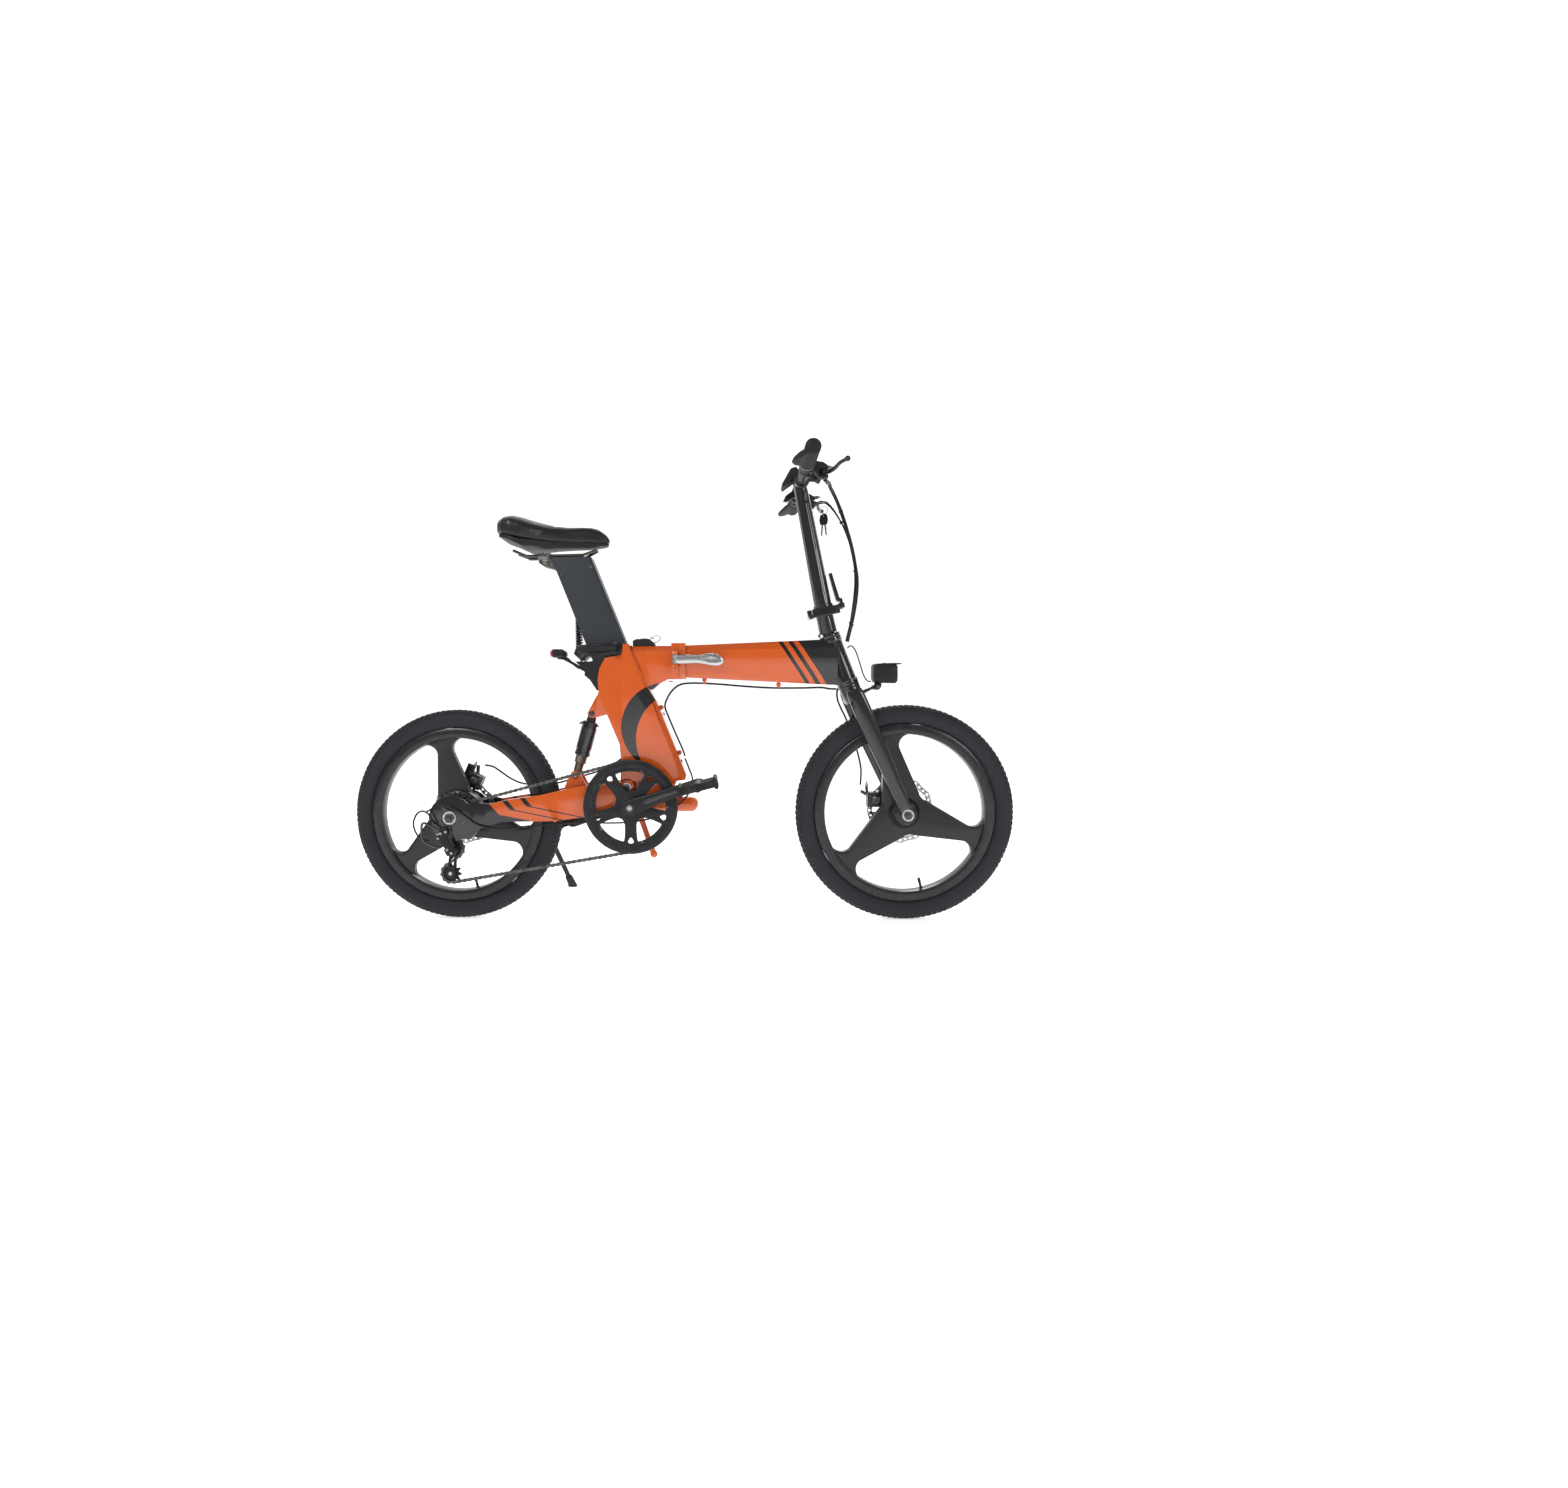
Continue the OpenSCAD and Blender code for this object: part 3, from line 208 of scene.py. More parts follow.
def refined(node, width=1.0, segments=2, angle=30, keep=None):
    """A copy of a CAD node, welded, with its flat faces merged and its edges rounded."""
    source = cad[node].data
    mesh = bpy.data.meshes.new(node + "_finish")
    mesh.from_pydata([v.co[:] for v in source.vertices], [], [p.vertices[:] for p in source.polygons])
    bm = bmesh.new()
    bm.from_mesh(mesh)
    bmesh.ops.remove_doubles(bm, verts=bm.verts, dist=0.00002)
    bmesh.ops.dissolve_limit(bm, angle_limit=math.radians(0.8), verts=bm.verts, edges=bm.edges)
    if keep:
        gone = [v for v in bm.verts if not keep(v.co / MM)]
        bmesh.ops.delete(bm, geom=gone, context="VERTS")
    bm.to_mesh(mesh)
    bm.free()
    obj = new_object(node + "_finish", mesh)
    bevel = obj.modifiers.new("edges", "BEVEL")
    bevel.width, bevel.segments = width * MM, segments
    bevel.limit_method, bevel.angle_limit = "ANGLE", math.radians(angle)
    bevel.miter_outer = "MITER_ARC"
    return baked(obj)


def plate(name, loops, y0, y1, edge=0.6, steps=2):
    """A flat plate standing in the XZ plane: the first loop is its outline, the rest are holes."""
    curve = bpy.data.curves.new(name, "CURVE")
    curve.dimensions, curve.fill_mode = "2D", "BOTH"
    curve.extrude = (abs(y1 - y0) / 2 - edge) * MM
    curve.bevel_depth, curve.bevel_resolution, curve.offset = edge * MM, steps, -edge * MM
    for loop in loops:
        spline = curve.splines.new("POLY")
        spline.points.add(len(loop) - 1)
        for point, (u, v) in zip(spline.points, loop):
            point.co = (u * MM, v * MM, 0, 1)
        spline.use_cyclic_u = True
    obj = new_object(name, curve)
    obj.matrix_world = Matrix.Translation((0, (y0 + y1) / 2 * MM, 0)) @ Matrix.Rotation(math.pi / 2, 4, "X")
    bpy.context.view_layer.update()
    obj = baked(obj)
    bm = bmesh.new()
    bm.from_mesh(obj.data)
    bmesh.ops.remove_doubles(bm, verts=bm.verts, dist=0.000005)
    bmesh.ops.recalc_face_normals(bm, faces=bm.faces)
    bm.to_mesh(obj.data)
    bm.free()
    return obj


def lathe(name, centre, profile, steps=64, closed=True, axis=None):
    """A ring of (radius, along) points turned about an axis through centre, or about Y."""
    axis = (axis or Vector((0, 1, 0))).normalized()
    side = axis.orthogonal().normalized()
    other = axis.cross(side)
    centre = Vector(centre)
    bm = bmesh.new()
    rings = []
    for k in range(steps):
        angle = 2 * math.pi * k / steps
        out = side * math.cos(angle) + other * math.sin(angle)
        rings.append([bm.verts.new((centre + out * r + axis * a) * MM) for r, a in profile])
    count = len(profile)
    for k in range(steps):
        one, two = rings[k], rings[(k + 1) % steps]
        for i in range(count if closed else count - 1):
            j = (i + 1) % count
            bm.faces.new((one[i], one[j], two[j], two[i]))
    if not closed:
        for end in (0, count - 1):
            if profile[end][0] > 0.01:
                bm.faces.new([ring[end] for ring in rings])
    bmesh.ops.remove_doubles(bm, verts=bm.verts, dist=0.000005)
    bmesh.ops.recalc_face_normals(bm, faces=bm.faces)
    return new_object(name, mesh_of(bm, name))


def loft(name, sections, points=32, power=2.4):
    """A closed skin through (centre, across vector, up vector) sections, each a rounded box."""
    bm = bmesh.new()
    rings = []
    for centre, across, up in sections:
        ring = []
        for k in range(points):
            angle = 2 * math.pi * k / points
            c, s = math.cos(angle), math.sin(angle)
            cc = math.copysign(abs(c) ** (2 / power), c)
            ss = math.copysign(abs(s) ** (2 / power), s)
            ring.append(bm.verts.new((Vector(centre) + Vector(across) * cc + Vector(up) * ss) * MM))
        rings.append(ring)
    for one, two in zip(rings, rings[1:]):
        for k in range(points):
            j = (k + 1) % points
            bm.faces.new((one[k], one[j], two[j], two[k]))
    bm.faces.new(rings[0])
    bm.faces.new(rings[-1])
    bmesh.ops.recalc_face_normals(bm, faces=bm.faces)
    return new_object(name, mesh_of(bm, name))


def smooth_route(points, steps):
    """Even parameter steps along a smooth curve through the points."""
    p = [Vector(q) for q in points]
    last = len(p) - 1
    out = []
    for k in range(steps + 1):
        u = last * k / steps
        i = min(int(u), last - 1)
        t = u - i
        a, b, c, d = p[max(i - 1, 0)], p[i], p[i + 1], p[min(i + 2, last)]
        out.append(0.5 * (2 * b + (c - a) * t + (2 * a - 5 * b + 4 * c - d) * t * t
            + (3 * b - a - 3 * c + d) * t ** 3))
    return out


def tube(name, path, radius, sides=12):
    """A round tube along a path of points; radius is a number or a function of the share along it."""
    path = [Vector(q) for q in path]
    bm = bmesh.new()
    normal = (path[1] - path[0]).orthogonal().normalized()
    rings = []
    for i, q in enumerate(path):
        along = (path[min(i + 1, len(path) - 1)] - path[max(i - 1, 0)]).normalized()
        normal = (normal - along * normal.dot(along)).normalized()
        other = along.cross(normal)
        r = radius(i / (len(path) - 1)) if callable(radius) else radius
        rings.append([bm.verts.new((q + (normal * math.cos(2 * math.pi * k / sides)
            + other * math.sin(2 * math.pi * k / sides)) * r) * MM) for k in range(sides)])
    for one, two in zip(rings, rings[1:]):
        for k in range(sides):
            j = (k + 1) % sides
            bm.faces.new((one[k], one[j], two[j], two[k]))
    bm.faces.new(rings[0])
    bm.faces.new(rings[-1])
    bmesh.ops.recalc_face_normals(bm, faces=bm.faces)
    return new_object(name, mesh_of(bm, name))


def block(name, centre, size, round_by=0.8, turn=None, segments=2):
    """A box with rounded edges; turn is a rotation matrix about its centre."""
    bm = bmesh.new()
    bmesh.ops.create_cube(bm, size=1)
    for v in bm.verts:
        v.co = Vector((v.co.x * size[0], v.co.y * size[1], v.co.z * size[2]))
    bmesh.ops.bevel(bm, geom=bm.edges[:], offset=round_by, segments=segments, profile=0.5, affect="EDGES")
    for v in bm.verts:
        v.co = ((turn @ v.co if turn else v.co) + Vector(centre)) * MM
    return new_object(name, mesh_of(bm, name))


def circle(centre, radius, steps=64, start=0.0):
    return [(centre[0] + radius * math.cos(start + 2 * math.pi * k / steps),
        centre[1] + radius * math.sin(start + 2 * math.pi * k / steps)) for k in range(steps)]


def turned(points, centre, degrees):
    """Side-view points turned about the origin, then moved to centre."""
    c, s = math.cos(math.radians(degrees)), math.sin(math.radians(degrees))
    return [(centre[0] + c * x - s * z, centre[1] + s * x + c * z) for x, z in points]


def mirrored(obj, name):
    """The same piece on the other side of the bicycle."""
    bm = bmesh.new()
    bm.from_mesh(obj.data)
    for v in bm.verts:
        v.co.y = -v.co.y
    bmesh.ops.reverse_faces(bm, faces=bm.faces)
    twin = new_object(name, mesh_of(bm, name))
    for material in obj.data.materials:
        twin.data.materials.append(material)
    return twin


def bolt(name, centre, axis, radius, height, socket=True):
    """A cap screw head with a round socket, standing on centre along axis."""
    axis = Vector(axis).normalized()
    profile = [(0, 0), (radius, 0), (radius, height * 0.8), (radius * 0.85, height), (radius * 0.55, height)]
    profile += [(radius * 0.5, height * 0.4), (0, height * 0.4)] if socket else [(0, height * 1.15)]
    return lathe(name, centre, profile, 18, closed=False, axis=axis)


# ---- things that repeat
def repeat_tree(name):
    """Copies of one shape spread evenly along a curve, turned to follow it."""
    tree = bpy.data.node_groups.new(name, "GeometryNodeTree")
    face = tree.interface
    face.new_socket("Path", in_out="INPUT", socket_type="NodeSocketGeometry")
    face.new_socket("Shape", in_out="INPUT", socket_type="NodeSocketObject")
    face.new_socket("Count", in_out="INPUT", socket_type="NodeSocketInt")
    face.new_socket("Every", in_out="INPUT", socket_type="NodeSocketInt")
    face.new_socket("Phase", in_out="INPUT", socket_type="NodeSocketInt")
    face.new_socket("Outward", in_out="INPUT", socket_type="NodeSocketVector")
    face.new_socket("Uneven", in_out="INPUT", socket_type="NodeSocketFloat")
    face.new_socket("Finish", in_out="INPUT", socket_type="NodeSocketMaterial")
    face.new_socket("Pieces", in_out="OUTPUT", socket_type="NodeSocketGeometry")
    add, link = tree.nodes.new, tree.links.new
    given, result = add("NodeGroupInput"), add("NodeGroupOutput")
    resample = add("GeometryNodeResampleCurve")
    link(given.outputs["Path"], resample.inputs["Curve"])
    link(given.outputs["Count"], resample.inputs["Count"])
    tangent = add("GeometryNodeInputTangent")
    along = add("FunctionNodeAlignRotationToVector")
    along.axis = "X"
    link(tangent.outputs[0], along.inputs["Vector"])
    outward = add("FunctionNodeAlignRotationToVector")
    outward.axis, outward.pivot_axis = "Y", "X"
    link(along.outputs[0], outward.inputs["Rotation"])
    link(given.outputs["Outward"], outward.inputs["Vector"])
    index = add("GeometryNodeInputIndex")
    part = add("FunctionNodeIntegerMath")
    part.operation = "MODULO"
    link(index.outputs[0], part.inputs[0])
    link(given.outputs["Every"], part.inputs[1])
    chosen = add("FunctionNodeCompare")
    chosen.data_type, chosen.operation = "INT", "EQUAL"
    link(part.outputs[0], chosen.inputs[2])
    link(given.outputs["Phase"], chosen.inputs[3])
    shape = add("GeometryNodeObjectInfo")
    link(given.outputs["Shape"], shape.inputs["Object"])
    chance = add("FunctionNodeRandomValue")
    chance.data_type = "FLOAT"
    chance.inputs["Seed"].default_value = 3
    low = add("ShaderNodeMath")
    low.operation = "SUBTRACT"
    low.inputs[0].default_value = 1
    link(given.outputs["Uneven"], low.inputs[1])
    link(low.outputs[0], chance.inputs[2])
    chance.inputs[3].default_value = 1
    spread = add("GeometryNodeInstanceOnPoints")
    link(resample.outputs[0], spread.inputs["Points"])
    link(chosen.outputs[0], spread.inputs["Selection"])
    link(shape.outputs["Geometry"], spread.inputs["Instance"])
    link(outward.outputs[0], spread.inputs["Rotation"])
    link(chance.outputs[1], spread.inputs["Scale"])
    real = add("GeometryNodeRealizeInstances")
    link(spread.outputs[0], real.inputs[0])
    painted = add("GeometryNodeSetMaterial")
    link(real.outputs[0], painted.inputs["Geometry"])
    link(given.outputs["Finish"], painted.inputs["Material"])
    link(painted.outputs[0], result.inputs[0])
    return tree


REPEAT = repeat_tree("spread_along_path")


def repeated(name, path, shape, count, material, outward=(0, 1, 0), every=1, phase=0, closed=True,
        uneven=0.0):
    """shape, a mesh object modelled at the origin with X along the path, copied along a path in mm."""
    curve = bpy.data.curves.new(name, "CURVE")
    curve.dimensions = "3D"
    spline = curve.splines.new("POLY")
    spline.points.add(len(path) - 1)
    for point, q in zip(spline.points, path):
        point.co = (q[0] * MM, q[1] * MM, q[2] * MM, 1)
    spline.use_cyclic_u = closed
    host = new_object(name, curve)
    modifier = host.modifiers.new("spread", "NODES")
    modifier.node_group = REPEAT
    ids = {item.name: item.identifier for item in REPEAT.interface.items_tree if item.in_out == "INPUT"}
    values = {"Shape": shape, "Count": count, "Every": every, "Phase": phase, "Outward": outward,
        "Uneven": uneven, "Finish": material}
    for key, value in values.items():
        modifier[ids[key]] = value
    obj = baked(host)
    if not obj.data.materials:
        obj.data.materials.append(material)
    return obj


def ring_path(centre, radius, y, steps=96):
    return [(x, y, z) for x, z in circle(centre, radius, steps)]


# ---- finishes
def group_sockets(tree, inputs, outputs):
    for name, kind, value in inputs:
        socket = tree.interface.new_socket(name, in_out="INPUT", socket_type="NodeSocket" + kind)
        socket.default_value = value
    for name, kind in outputs:
        tree.interface.new_socket(name, in_out="OUTPUT", socket_type="NodeSocket" + kind)


def surface_group():
    """Colour drift, lighter high edges (partly rubbed wear, partly a painted highlight) and fine grain, which
    most of the finishes share.
    """
    tree = bpy.data.node_groups.new("surface_character", "ShaderNodeTree")
    group_sockets(tree, [("Color", "Color", (0.5, 0.5, 0.5, 1)), ("Drift Color", "Color", (0.4, 0.4, 0.4, 1)),
        ("Worn Color", "Color", (0.6, 0.6, 0.6, 1)), ("Drift", "Float", 0.3),
        ("Wear", "Float", 0.0), ("Grain Scale", "Float", 400.0), ("Grain Depth", "Float", 0.0001),
        ("Rough", "Float", 0.4), ("Rough Spread", "Float", 0.1)],
        [("Color", "Color"), ("Roughness", "Float"), ("Normal", "Vector"), ("Wear", "Float")])
    add, link = tree.nodes.new, tree.links.new
    given, result = add("NodeGroupInput"), add("NodeGroupOutput")
    place = add("ShaderNodeTexCoord")
    cloud = add("ShaderNodeTexNoise")
    cloud.inputs["Scale"].default_value, cloud.inputs["Detail"].default_value = 9, 4
    link(place.outputs["Object"], cloud.inputs["Vector"])
    drift = add("ShaderNodeMath")
    drift.operation = "MULTIPLY"
    link(cloud.outputs["Fac"], drift.inputs[0])
    link(given.outputs["Drift"], drift.inputs[1])
    base = add("ShaderNodeMix")
    base.data_type = "RGBA"
    link(drift.outputs[0], base.inputs[0])
    link(given.outputs["Color"], base.inputs[6])
    link(given.outputs["Drift Color"], base.inputs[7])
    # Convex edges, found by pointiness, turn toward the worn colour in noise patches: partly rubbed wear,
    # partly a painted highlight along the edges.
    edge = add("ShaderNodeNewGeometry")
    ridge = add("ShaderNodeMapRange")
    ridge.inputs["From Min"].default_value, ridge.inputs["From Max"].default_value = 0.53, 0.62
    link(edge.outputs["Pointiness"], ridge.inputs["Value"])
    rub_and_highlight_noise = add("ShaderNodeTexNoise")
    rub_and_highlight_noise.inputs["Scale"].default_value, rub_and_highlight_noise.inputs["Detail"].default_value = 70, 5
    link(place.outputs["Object"], rub_and_highlight_noise.inputs["Vector"])
    patch = add("ShaderNodeMapRange")
    patch.inputs["From Min"].default_value, patch.inputs["From Max"].default_value = 0.45, 0.6
    link(rub_and_highlight_noise.outputs["Fac"], patch.inputs["Value"])
    both = add("ShaderNodeMath")
    both.operation = "MULTIPLY"
    link(ridge.outputs[0], both.inputs[0])
    link(patch.outputs[0], both.inputs[1])
    wear = add("ShaderNodeMath")
    wear.operation = "MULTIPLY"
    link(both.outputs[0], wear.inputs[0])
    link(given.outputs["Wear"], wear.inputs[1])
    colour = add("ShaderNodeMix")
    colour.data_type = "RGBA"
    link(wear.outputs[0], colour.inputs[0])
    link(base.outputs[2], colour.inputs[6])
    link(given.outputs["Worn Color"], colour.inputs[7])
    grain = add("ShaderNodeTexNoise")
    grain.inputs["Detail"].default_value = 3
    link(place.outputs["Object"], grain.inputs["Vector"])
    link(given.outputs["Grain Scale"], grain.inputs["Scale"])
    centred = add("ShaderNodeMath")
    centred.operation = "SUBTRACT"
    link(grain.outputs["Fac"], centred.inputs[0])
    centred.inputs[1].default_value = 0.5
    spread = add("ShaderNodeMath")
    spread.operation = "MULTIPLY_ADD"
    link(centred.outputs[0], spread.inputs[0])
    link(given.outputs["Rough Spread"], spread.inputs[1])
    link(given.outputs["Rough"], spread.inputs[2])
    bump = add("ShaderNodeBump")
    bump.inputs["Strength"].default_value = 1
    link(given.outputs["Grain Depth"], bump.inputs["Distance"])
    link(grain.outputs["Fac"], bump.inputs["Height"])
    link(colour.outputs[2], result.inputs["Color"])
    link(spread.outputs[0], result.inputs["Roughness"])
    link(bump.outputs[0], result.inputs["Normal"])
    link(wear.outputs[0], result.inputs["Wear"])
    return tree


def band_group():
    """A slanted band in side view: 1 where x + slant * z lies between Low and High, in metres."""
    tree = bpy.data.node_groups.new("slanted_band", "ShaderNodeTree")
    group_sockets(tree, [("Slant", "Float", 0.6), ("Bend", "Float", 0.0), ("Bend At", "Float", 0.0),
        ("Low", "Float", 0.0), ("High", "Float", 1.0)], [("Mask", "Float")])
    add, link = tree.nodes.new, tree.links.new
    given, result = add("NodeGroupInput"), add("NodeGroupOutput")
    place, split = add("ShaderNodeTexCoord"), add("ShaderNodeSeparateXYZ")
    link(place.outputs["Object"], split.inputs[0])
    line = add("ShaderNodeMath")
    line.operation = "MULTIPLY_ADD"
    link(split.outputs["Z"], line.inputs[0])
    link(given.outputs["Slant"], line.inputs[1])
    link(split.outputs["X"], line.inputs[2])
    below = add("ShaderNodeMath")
    below.operation = "SUBTRACT"
    link(given.outputs["Bend At"], below.inputs[0])
    link(split.outputs["Z"], below.inputs[1])
    only = add("ShaderNodeMath")
    only.operation = "MAXIMUM"
    only.inputs[1].default_value = 0
    link(below.outputs[0], only.inputs[0])
    bent = add("ShaderNodeMath")
    bent.operation = "MULTIPLY_ADD"
    link(only.outputs[0], bent.inputs[0])
    link(given.outputs["Bend"], bent.inputs[1])
    link(line.outputs[0], bent.inputs[2])
    masks = []
    for name, swap in (("Low", False), ("High", True)):
        step = add("ShaderNodeMath")
        step.operation = "GREATER_THAN"
        link(bent.outputs[0], step.inputs[1 if swap else 0])
        link(given.outputs[name], step.inputs[0 if swap else 1])
        masks.append(step)
    both = add("ShaderNodeMath")
    both.operation = "MULTIPLY"
    link(masks[0].outputs[0], both.inputs[0])
    link(masks[1].outputs[0], both.inputs[1])
    link(both.outputs[0], result.inputs[0])
    return tree


def disc_group():
    """1 inside a circle in side view, in metres."""
    tree = bpy.data.node_groups.new("side_disc", "ShaderNodeTree")
    group_sockets(tree, [("Centre X", "Float", 0.0), ("Centre Z", "Float", 0.0), ("Radius", "Float", 0.1)],
        [("Mask", "Float")])
    add, link = tree.nodes.new, tree.links.new
    given, result = add("NodeGroupInput"), add("NodeGroupOutput")
    place, split = add("ShaderNodeTexCoord"), add("ShaderNodeSeparateXYZ")
    link(place.outputs["Object"], split.inputs[0])
    squares = []
    for axis, centre in (("X", "Centre X"), ("Z", "Centre Z")):
        off = add("ShaderNodeMath")
        off.operation = "SUBTRACT"
        link(split.outputs[axis], off.inputs[0])
        link(given.outputs[centre], off.inputs[1])
        square = add("ShaderNodeMath")
        square.operation = "POWER"
        square.inputs[1].default_value = 2
        link(off.outputs[0], square.inputs[0])
        squares.append(square)
    total = add("ShaderNodeMath")
    link(squares[0].outputs[0], total.inputs[0])
    link(squares[1].outputs[0], total.inputs[1])
    root = add("ShaderNodeMath")
    root.operation = "SQRT"
    link(total.outputs[0], root.inputs[0])
    inside = add("ShaderNodeMath")
    inside.operation = "LESS_THAN"
    link(root.outputs[0], inside.inputs[0])
    link(given.outputs["Radius"], inside.inputs[1])
    link(inside.outputs[0], result.inputs[0])
    return tree


CHARACTER, BAND, DISC = surface_group(), band_group(), disc_group()


def rgba(colour):
    return (*colour, 1)


def finish(name, colour, drift_to=None, worn=None, drift=0.4, wear=0.0, grain=(300, 0.00004), rough=0.4,
        spread=0.08, metal=0.0, **sockets):
    """A procedural finish: colour drift, lighter edges (partly rubbed wear, partly a painted highlight) and
    grain feed the shader in the material itself.
    """
    material = bpy.data.materials.new(name)
    material.use_nodes = True
    tree = material.node_tree
    shader = tree.nodes["Principled BSDF"]
    group = tree.nodes.new("ShaderNodeGroup")
    group.node_tree = CHARACTER
    # The worn colour and its amount paint lighter convex edges: partly rubbed wear, partly a painted
    # highlight.
    values = {"Color": rgba(colour), "Drift Color": rgba(drift_to or [c * 0.8 for c in colour]),
        "Worn Color": rgba(worn or [min(1, c * 2 + 0.05) for c in colour]), "Drift": drift, "Wear": wear,
        "Grain Scale": grain[0], "Grain Depth": grain[1], "Rough": rough, "Rough Spread": spread}
    for key, value in values.items():
        group.inputs[key].default_value = value
    tree.links.new(group.outputs["Color"], shader.inputs["Base Color"])
    tree.links.new(group.outputs["Roughness"], shader.inputs["Roughness"])
    tree.links.new(group.outputs["Normal"], shader.inputs["Normal"])
    shader.inputs["Metallic"].default_value = metal
    for key, value in sockets.items():
        shader.inputs[key.replace("_", " ")].default_value = value
    material["group"] = group.name
    return material


def painted(name, colour, masks, second=(0.008, 0.008, 0.009), **more):
    """Gloss paint under clear coat; each mask puts the second colour over the first."""
    material = finish(name, colour, **more)
    tree = material.node_tree
    shader = tree.nodes["Principled BSDF"]
    last = tree.nodes[material["group"]].outputs["Color"]
    for tree_kind, values in masks:
        if isinstance(tree_kind, list):
            parts = []
            for kind, given in tree_kind:
                node = tree.nodes.new("ShaderNodeGroup")
                node.node_tree = kind
                for key, value in given.items():
                    node.inputs[key].default_value = value
                parts.append(node.outputs[0])
            combined = parts[0]
            for part, operation in zip(parts[1:], values):
                node = tree.nodes.new("ShaderNodeMath")
                node.operation = operation
                node.use_clamp = True
                tree.links.new(combined, node.inputs[0])
                tree.links.new(part, node.inputs[1])
                combined = node.outputs[0]
            mask = combined
        else:
            node = tree.nodes.new("ShaderNodeGroup")
            node.node_tree = tree_kind
            for key, value in values.items():
                node.inputs[key].default_value = value
            mask = node.outputs[0]
        mix = tree.nodes.new("ShaderNodeMix")
        mix.data_type = "RGBA"
        tree.links.new(mask, mix.inputs[0])
        tree.links.new(last, mix.inputs[6])
        mix.inputs[7].default_value = rgba(second)
        last = mix.outputs[2]
    tree.links.new(last, shader.inputs["Base Color"])
    return material


DULL = {"Specular_IOR_Level": 0.28}
ORANGE = (0.68, 0.105, 0.006)
ORANGE_DEEP = (0.55, 0.075, 0.004)
COAT = {"Coat_Weight": 1.0, "Coat_Roughness": 0.06}
# The worn colour and wear amount below lighten the paint's edges: partly rubbed wear, partly a painted
# highlight.
PAINT = dict(drift_to=ORANGE_DEEP, worn=(0.8, 0.35, 0.15), drift=0.5, wear=0.3, grain=(900, 0.000012),
    rough=0.34, Specular_IOR_Level=0.3, **COAT)


def slanted(slant, low, high, bend=0.0, bend_at=0.0):
    return BAND, {"Slant": slant, "Low": low, "High": high, "Bend": bend, "Bend At": bend_at}


def disc(x, z, radius):
    return DISC, {"Centre X": x, "Centre Z": z, "Radius": radius}


tube_slant = 0.645
stripe_foot = tube_slant * 0.655
orange_front = painted("orange_front", ORANGE, [
    slanted(tube_slant, 0.241 + stripe_foot, 0.251 + stripe_foot),
    slanted(tube_slant, 0.264 + stripe_foot, 0.275 + stripe_foot),
    slanted(tube_slant, 0.288 + stripe_foot, 2.0)], **PAINT)
orange_rear = painted("orange_rear", ORANGE, [
    ([disc(-0.0247, 0.4603, 0.1039), disc(0.0182, 0.4315, 0.1126)], ["SUBTRACT"])], **PAINT)
orange_swing = painted("orange_swing", ORANGE, [
    slanted(0.8, -2.0, -0.2128, -3.9, 0.257), slanted(0.8, -0.181, -0.168, -3.9, 0.268),
    slanted(0.8, -0.135, -0.122, -3.9, 0.276)], **PAINT)
orange_plain = painted("orange_plain", ORANGE, [], **PAINT)
black_gloss = finish("black_gloss", (0.010, 0.010, 0.011), (0.014, 0.015, 0.018), (0.25, 0.25, 0.26),
    wear=0.25, grain=(800, 0.00001), rough=0.3, Coat_Weight=1.0, Coat_Roughness=0.05, **DULL)
black_satin = finish("black_satin", (0.013, 0.0135, 0.015), (0.02, 0.022, 0.026), (0.2, 0.2, 0.21), wear=0.3,
    grain=(1400, 0.00002), rough=0.42, **DULL)
cast_black = finish("cast_black", (0.011, 0.0115, 0.013), (0.018, 0.02, 0.024), (0.22, 0.22, 0.23), wear=0.2,
    grain=(600, 0.00003), rough=0.36, Coat_Weight=0.4, Coat_Roughness=0.2, **DULL)
battery_grey = finish("battery_grey", (0.030, 0.034, 0.040), (0.040, 0.045, 0.053), (0.3, 0.3, 0.31),
    wear=0.25, grain=(2200, 0.00003), rough=0.5, spread=0.2, **DULL)
plastic = finish("plastic_black", (0.012, 0.012, 0.013), (0.02, 0.02, 0.022), (0.06, 0.06, 0.06), wear=0.4,
    grain=(1800, 0.00008), rough=0.5, spread=0.25, **DULL)
rubber = finish("tyre_rubber", (0.016, 0.018, 0.021), (0.026, 0.029, 0.034), (0.07, 0.07, 0.07), drift=0.8,
    wear=0.3, grain=(1200, 0.00006), rough=0.66, spread=0.2, **DULL)
grip_rubber = finish("grip_rubber", (0.012, 0.012, 0.013), (0.02, 0.02, 0.021), wear=0.2,
    grain=(1500, 0.0001), rough=0.62, spread=0.2, **DULL)
cable_skin = finish("cable_skin", (0.009, 0.009, 0.010), (0.014, 0.014, 0.016), grain=(900, 0.00003),
    rough=0.38, **DULL)
alloy = finish("polished_alloy", (0.62, 0.63, 0.64), (0.5, 0.51, 0.53), (0.85, 0.85, 0.85), wear=0.5,
    grain=(260, 0.00003), rough=0.28, spread=0.3, metal=1.0)
steel = finish("bright_steel", (0.50, 0.50, 0.51), (0.36, 0.35, 0.34), (0.8, 0.8, 0.8), wear=0.5,
    grain=(500, 0.00002), rough=0.3, spread=0.25, metal=1.0)
dark_steel = finish("dark_steel", (0.11, 0.105, 0.10), (0.05, 0.045, 0.042), (0.5, 0.5, 0.5), wear=0.8,
    grain=(700, 0.00004), rough=0.4, spread=0.3, metal=1.0)
bronze = finish("anodised_bronze", (0.17, 0.145, 0.11), (0.12, 0.10, 0.08), (0.4, 0.38, 0.33), wear=0.4,
    grain=(600, 0.00002), rough=0.32, spread=0.2, metal=0.85)
